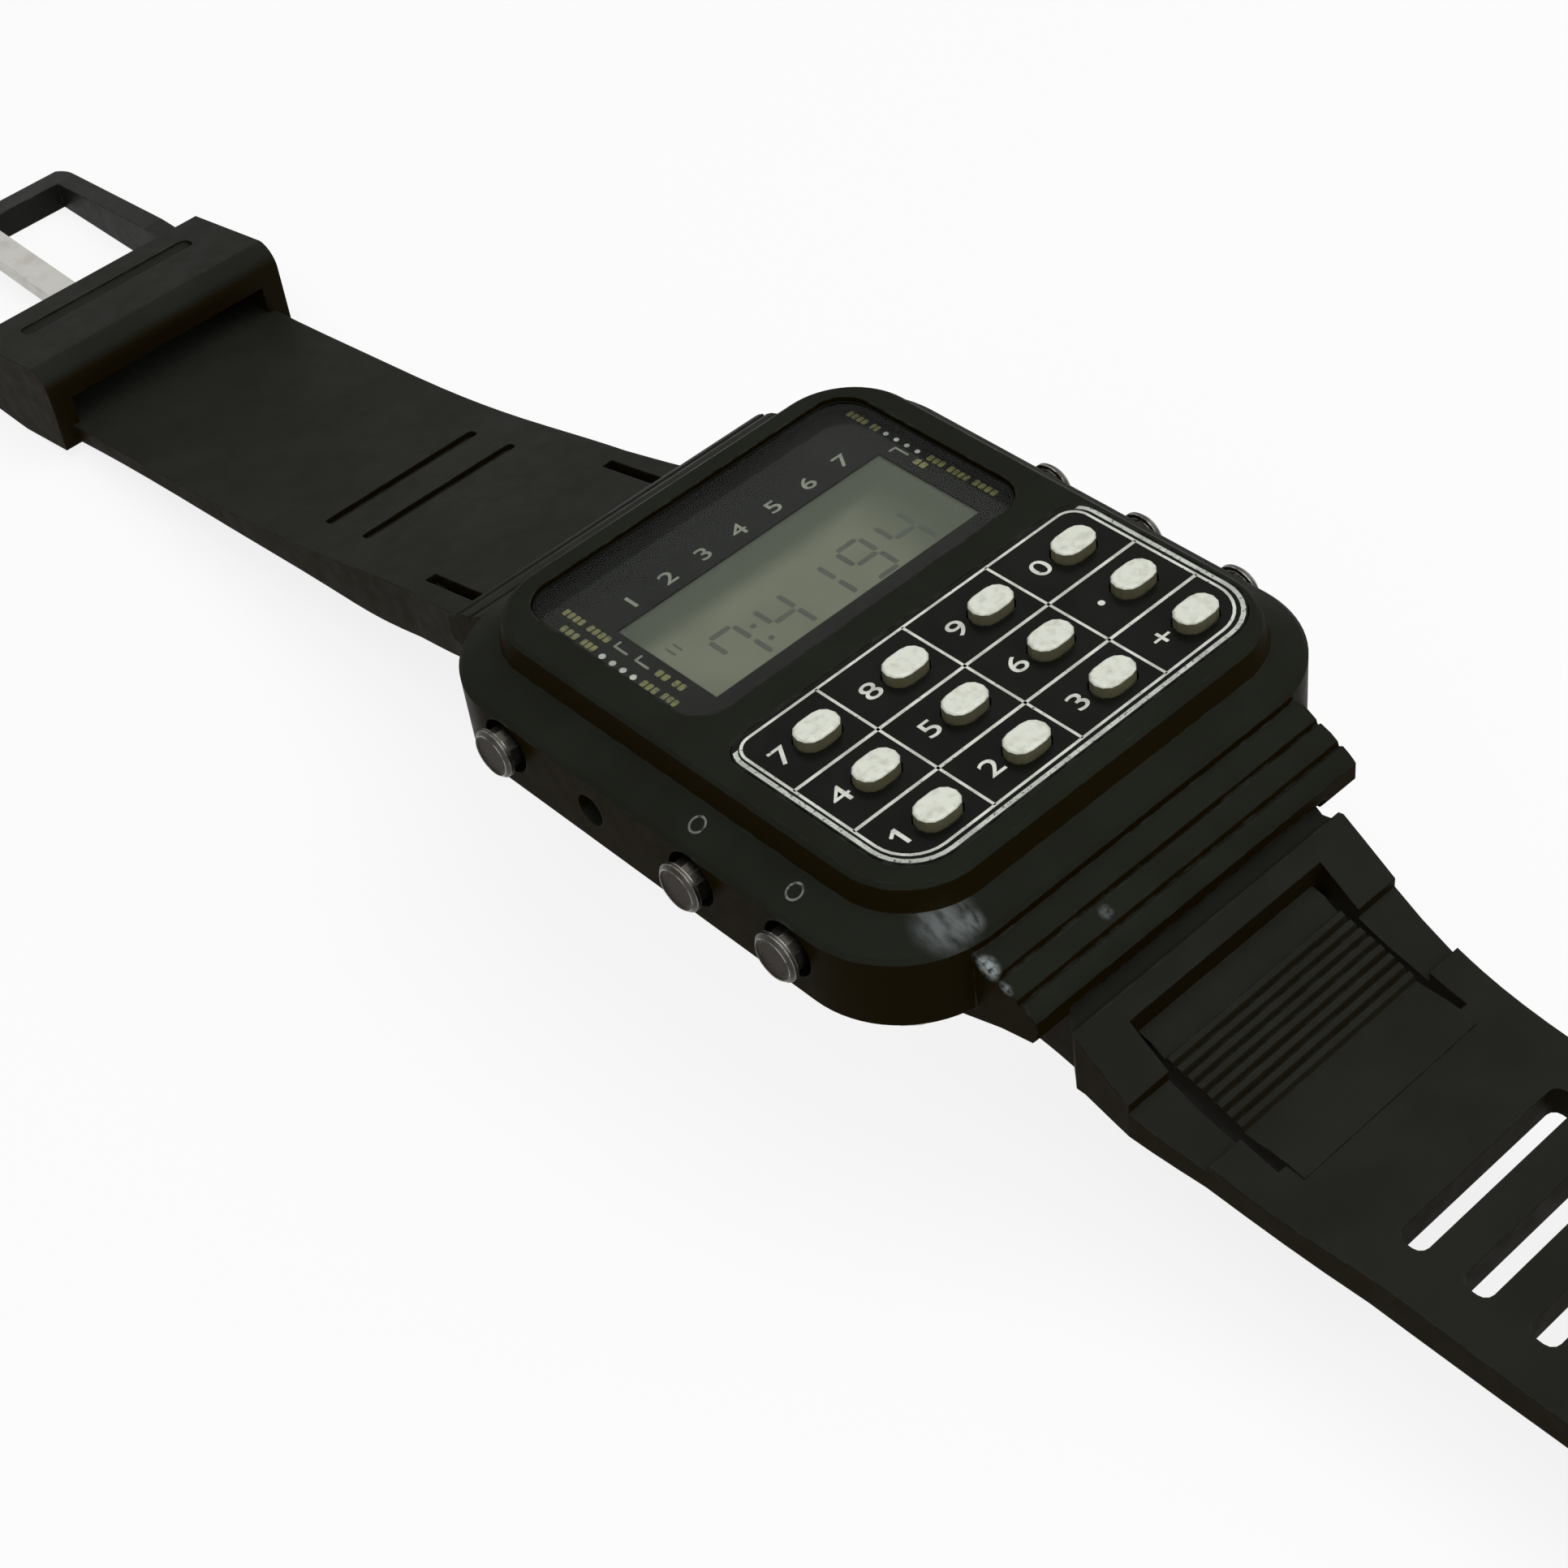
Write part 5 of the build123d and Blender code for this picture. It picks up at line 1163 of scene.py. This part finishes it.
@dataclass
class Studio:
    """The camera of the photograph, a pale floor and soft lamps."""

    table: float = -10.72
    floor_half: float = 1500.0
    floor_colour: Colour = (0.82, 0.82, 0.81)
    floor_roughness: float = 0.9
    floor_glow: float = 0.84
    eye: Place = (-76.301, -90.865, 111.853)
    right: Place = (0.7266, -0.6789, -0.1051)
    down: Place = (-0.5306, -0.4574, -0.7136)
    ahead: Place = (0.4364, 0.5743, -0.6927)
    lens: float = 68.94
    sensor: float = 36.0
    world_light: float = 0.45
    lamps: tuple[Lamp, ...] = (
        Lamp("top_lamp", (60.0, -110.0, 420.0), 640.0, 1.9),
        Lamp("side_lamp", (-320.0, -140.0, 200.0), 220.0, 0.1),
    )

    def camera(self) -> None:
        """Set up the camera."""
        data = bpy.data.cameras.new("camera")
        data.lens = self.lens
        data.sensor_width = self.sensor
        data.clip_start = MM
        camera = bpy.data.objects.new("camera", data)
        rows = [(self.right[i], -self.down[i], -self.ahead[i], self.eye[i] * MM) for i in range(3)]
        camera.matrix_world = Matrix((*rows, (0, 0, 0, 1)))
        bpy.context.scene.collection.objects.link(camera)
        bpy.context.scene.camera = camera

    def floor(self) -> None:
        """Lay the pale floor under the strap ends."""
        bm = bmesh.new()
        bmesh.ops.create_grid(bm, x_segments=4, y_segments=4, size=self.floor_half * MM)
        bmesh.ops.translate(bm, verts=bm.verts[:], vec=(0, 0, self.table * MM))
        mesh = bpy.data.meshes.new("floor")
        bm.to_mesh(mesh)
        bm.free()
        s = Surface("pale_floor")
        s.feed(s.shader.inputs["Base Color"], self.floor_colour)
        s.feed(s.shader.inputs["Roughness"], self.floor_roughness)
        glow = s.add("ShaderNodeEmission")
        glow.inputs["Strength"].default_value = 1.0
        path = s.add("ShaderNodeLightPath")
        seen = s.sum("MAXIMUM", path.outputs["Is Camera Ray"], path.outputs["Is Glossy Ray"])
        seen = s.sum("MAXIMUM", seen, path.outputs["Is Transmission Ray"])
        s.overlay(s.sum("MULTIPLY", seen, self.floor_glow), glow.outputs[0])
        mesh.materials.append(s.material)
        floor = bpy.data.objects.new("floor", mesh)
        bpy.context.scene.collection.objects.link(floor)

    def world(self) -> None:
        """Light evenly from all round, with white behind the object."""
        world = bpy.data.worlds.new("studio")
        world.use_nodes = True
        tree = world.node_tree
        tree.nodes.clear()
        back = tree.nodes.new("ShaderNodeBackground")
        back.inputs["Color"].default_value = (1.0, 1.0, 1.0, 1.0)
        out = tree.nodes.new("ShaderNodeOutputWorld")
        path = tree.nodes.new("ShaderNodeLightPath")
        seen = path.outputs["Is Camera Ray"]
        for ray in ("Is Glossy Ray", "Is Transmission Ray"):
            either = tree.nodes.new("ShaderNodeMath")
            either.operation = "MAXIMUM"
            tree.links.new(seen, either.inputs[0])
            tree.links.new(path.outputs[ray], either.inputs[1])
            seen = either.outputs[0]
        spread = tree.nodes.new("ShaderNodeMapRange")
        spread.inputs["To Min"].default_value = self.world_light
        spread.inputs["To Max"].default_value = 1.0
        tree.links.new(seen, spread.inputs["Value"])
        tree.links.new(spread.outputs["Result"], back.inputs["Strength"])
        tree.links.new(back.outputs[0], out.inputs["Surface"])
        bpy.context.scene.world = world

    def build(self) -> None:
        """Set up the camera, the floor, the world and the lamps."""
        self.camera()
        self.floor()
        self.world()
        for lamp in self.lamps:
            lamp.hang()
        bpy.context.scene.view_settings.view_transform = "Standard"


def main() -> None:
    """Build the scene in order and note the face counts of the printed pieces."""
    logging.basicConfig(level=logging.INFO, format="%(message)s")
    Studio().build()
    LOG.info("studio ready")
    HeadDress().dress()
    SideButtons().dress()
    Strap().dress()
    for piece in (*KeypadPrint().build(), *FacePrint().build(), WindowBorder().build(),
                  *DisplayFigures().build(), ShoulderMarks().build()):
        LOG.info("%s: %d faces", piece.name, len(piece.data.polygons))


if __name__ == "__main__":
    main()
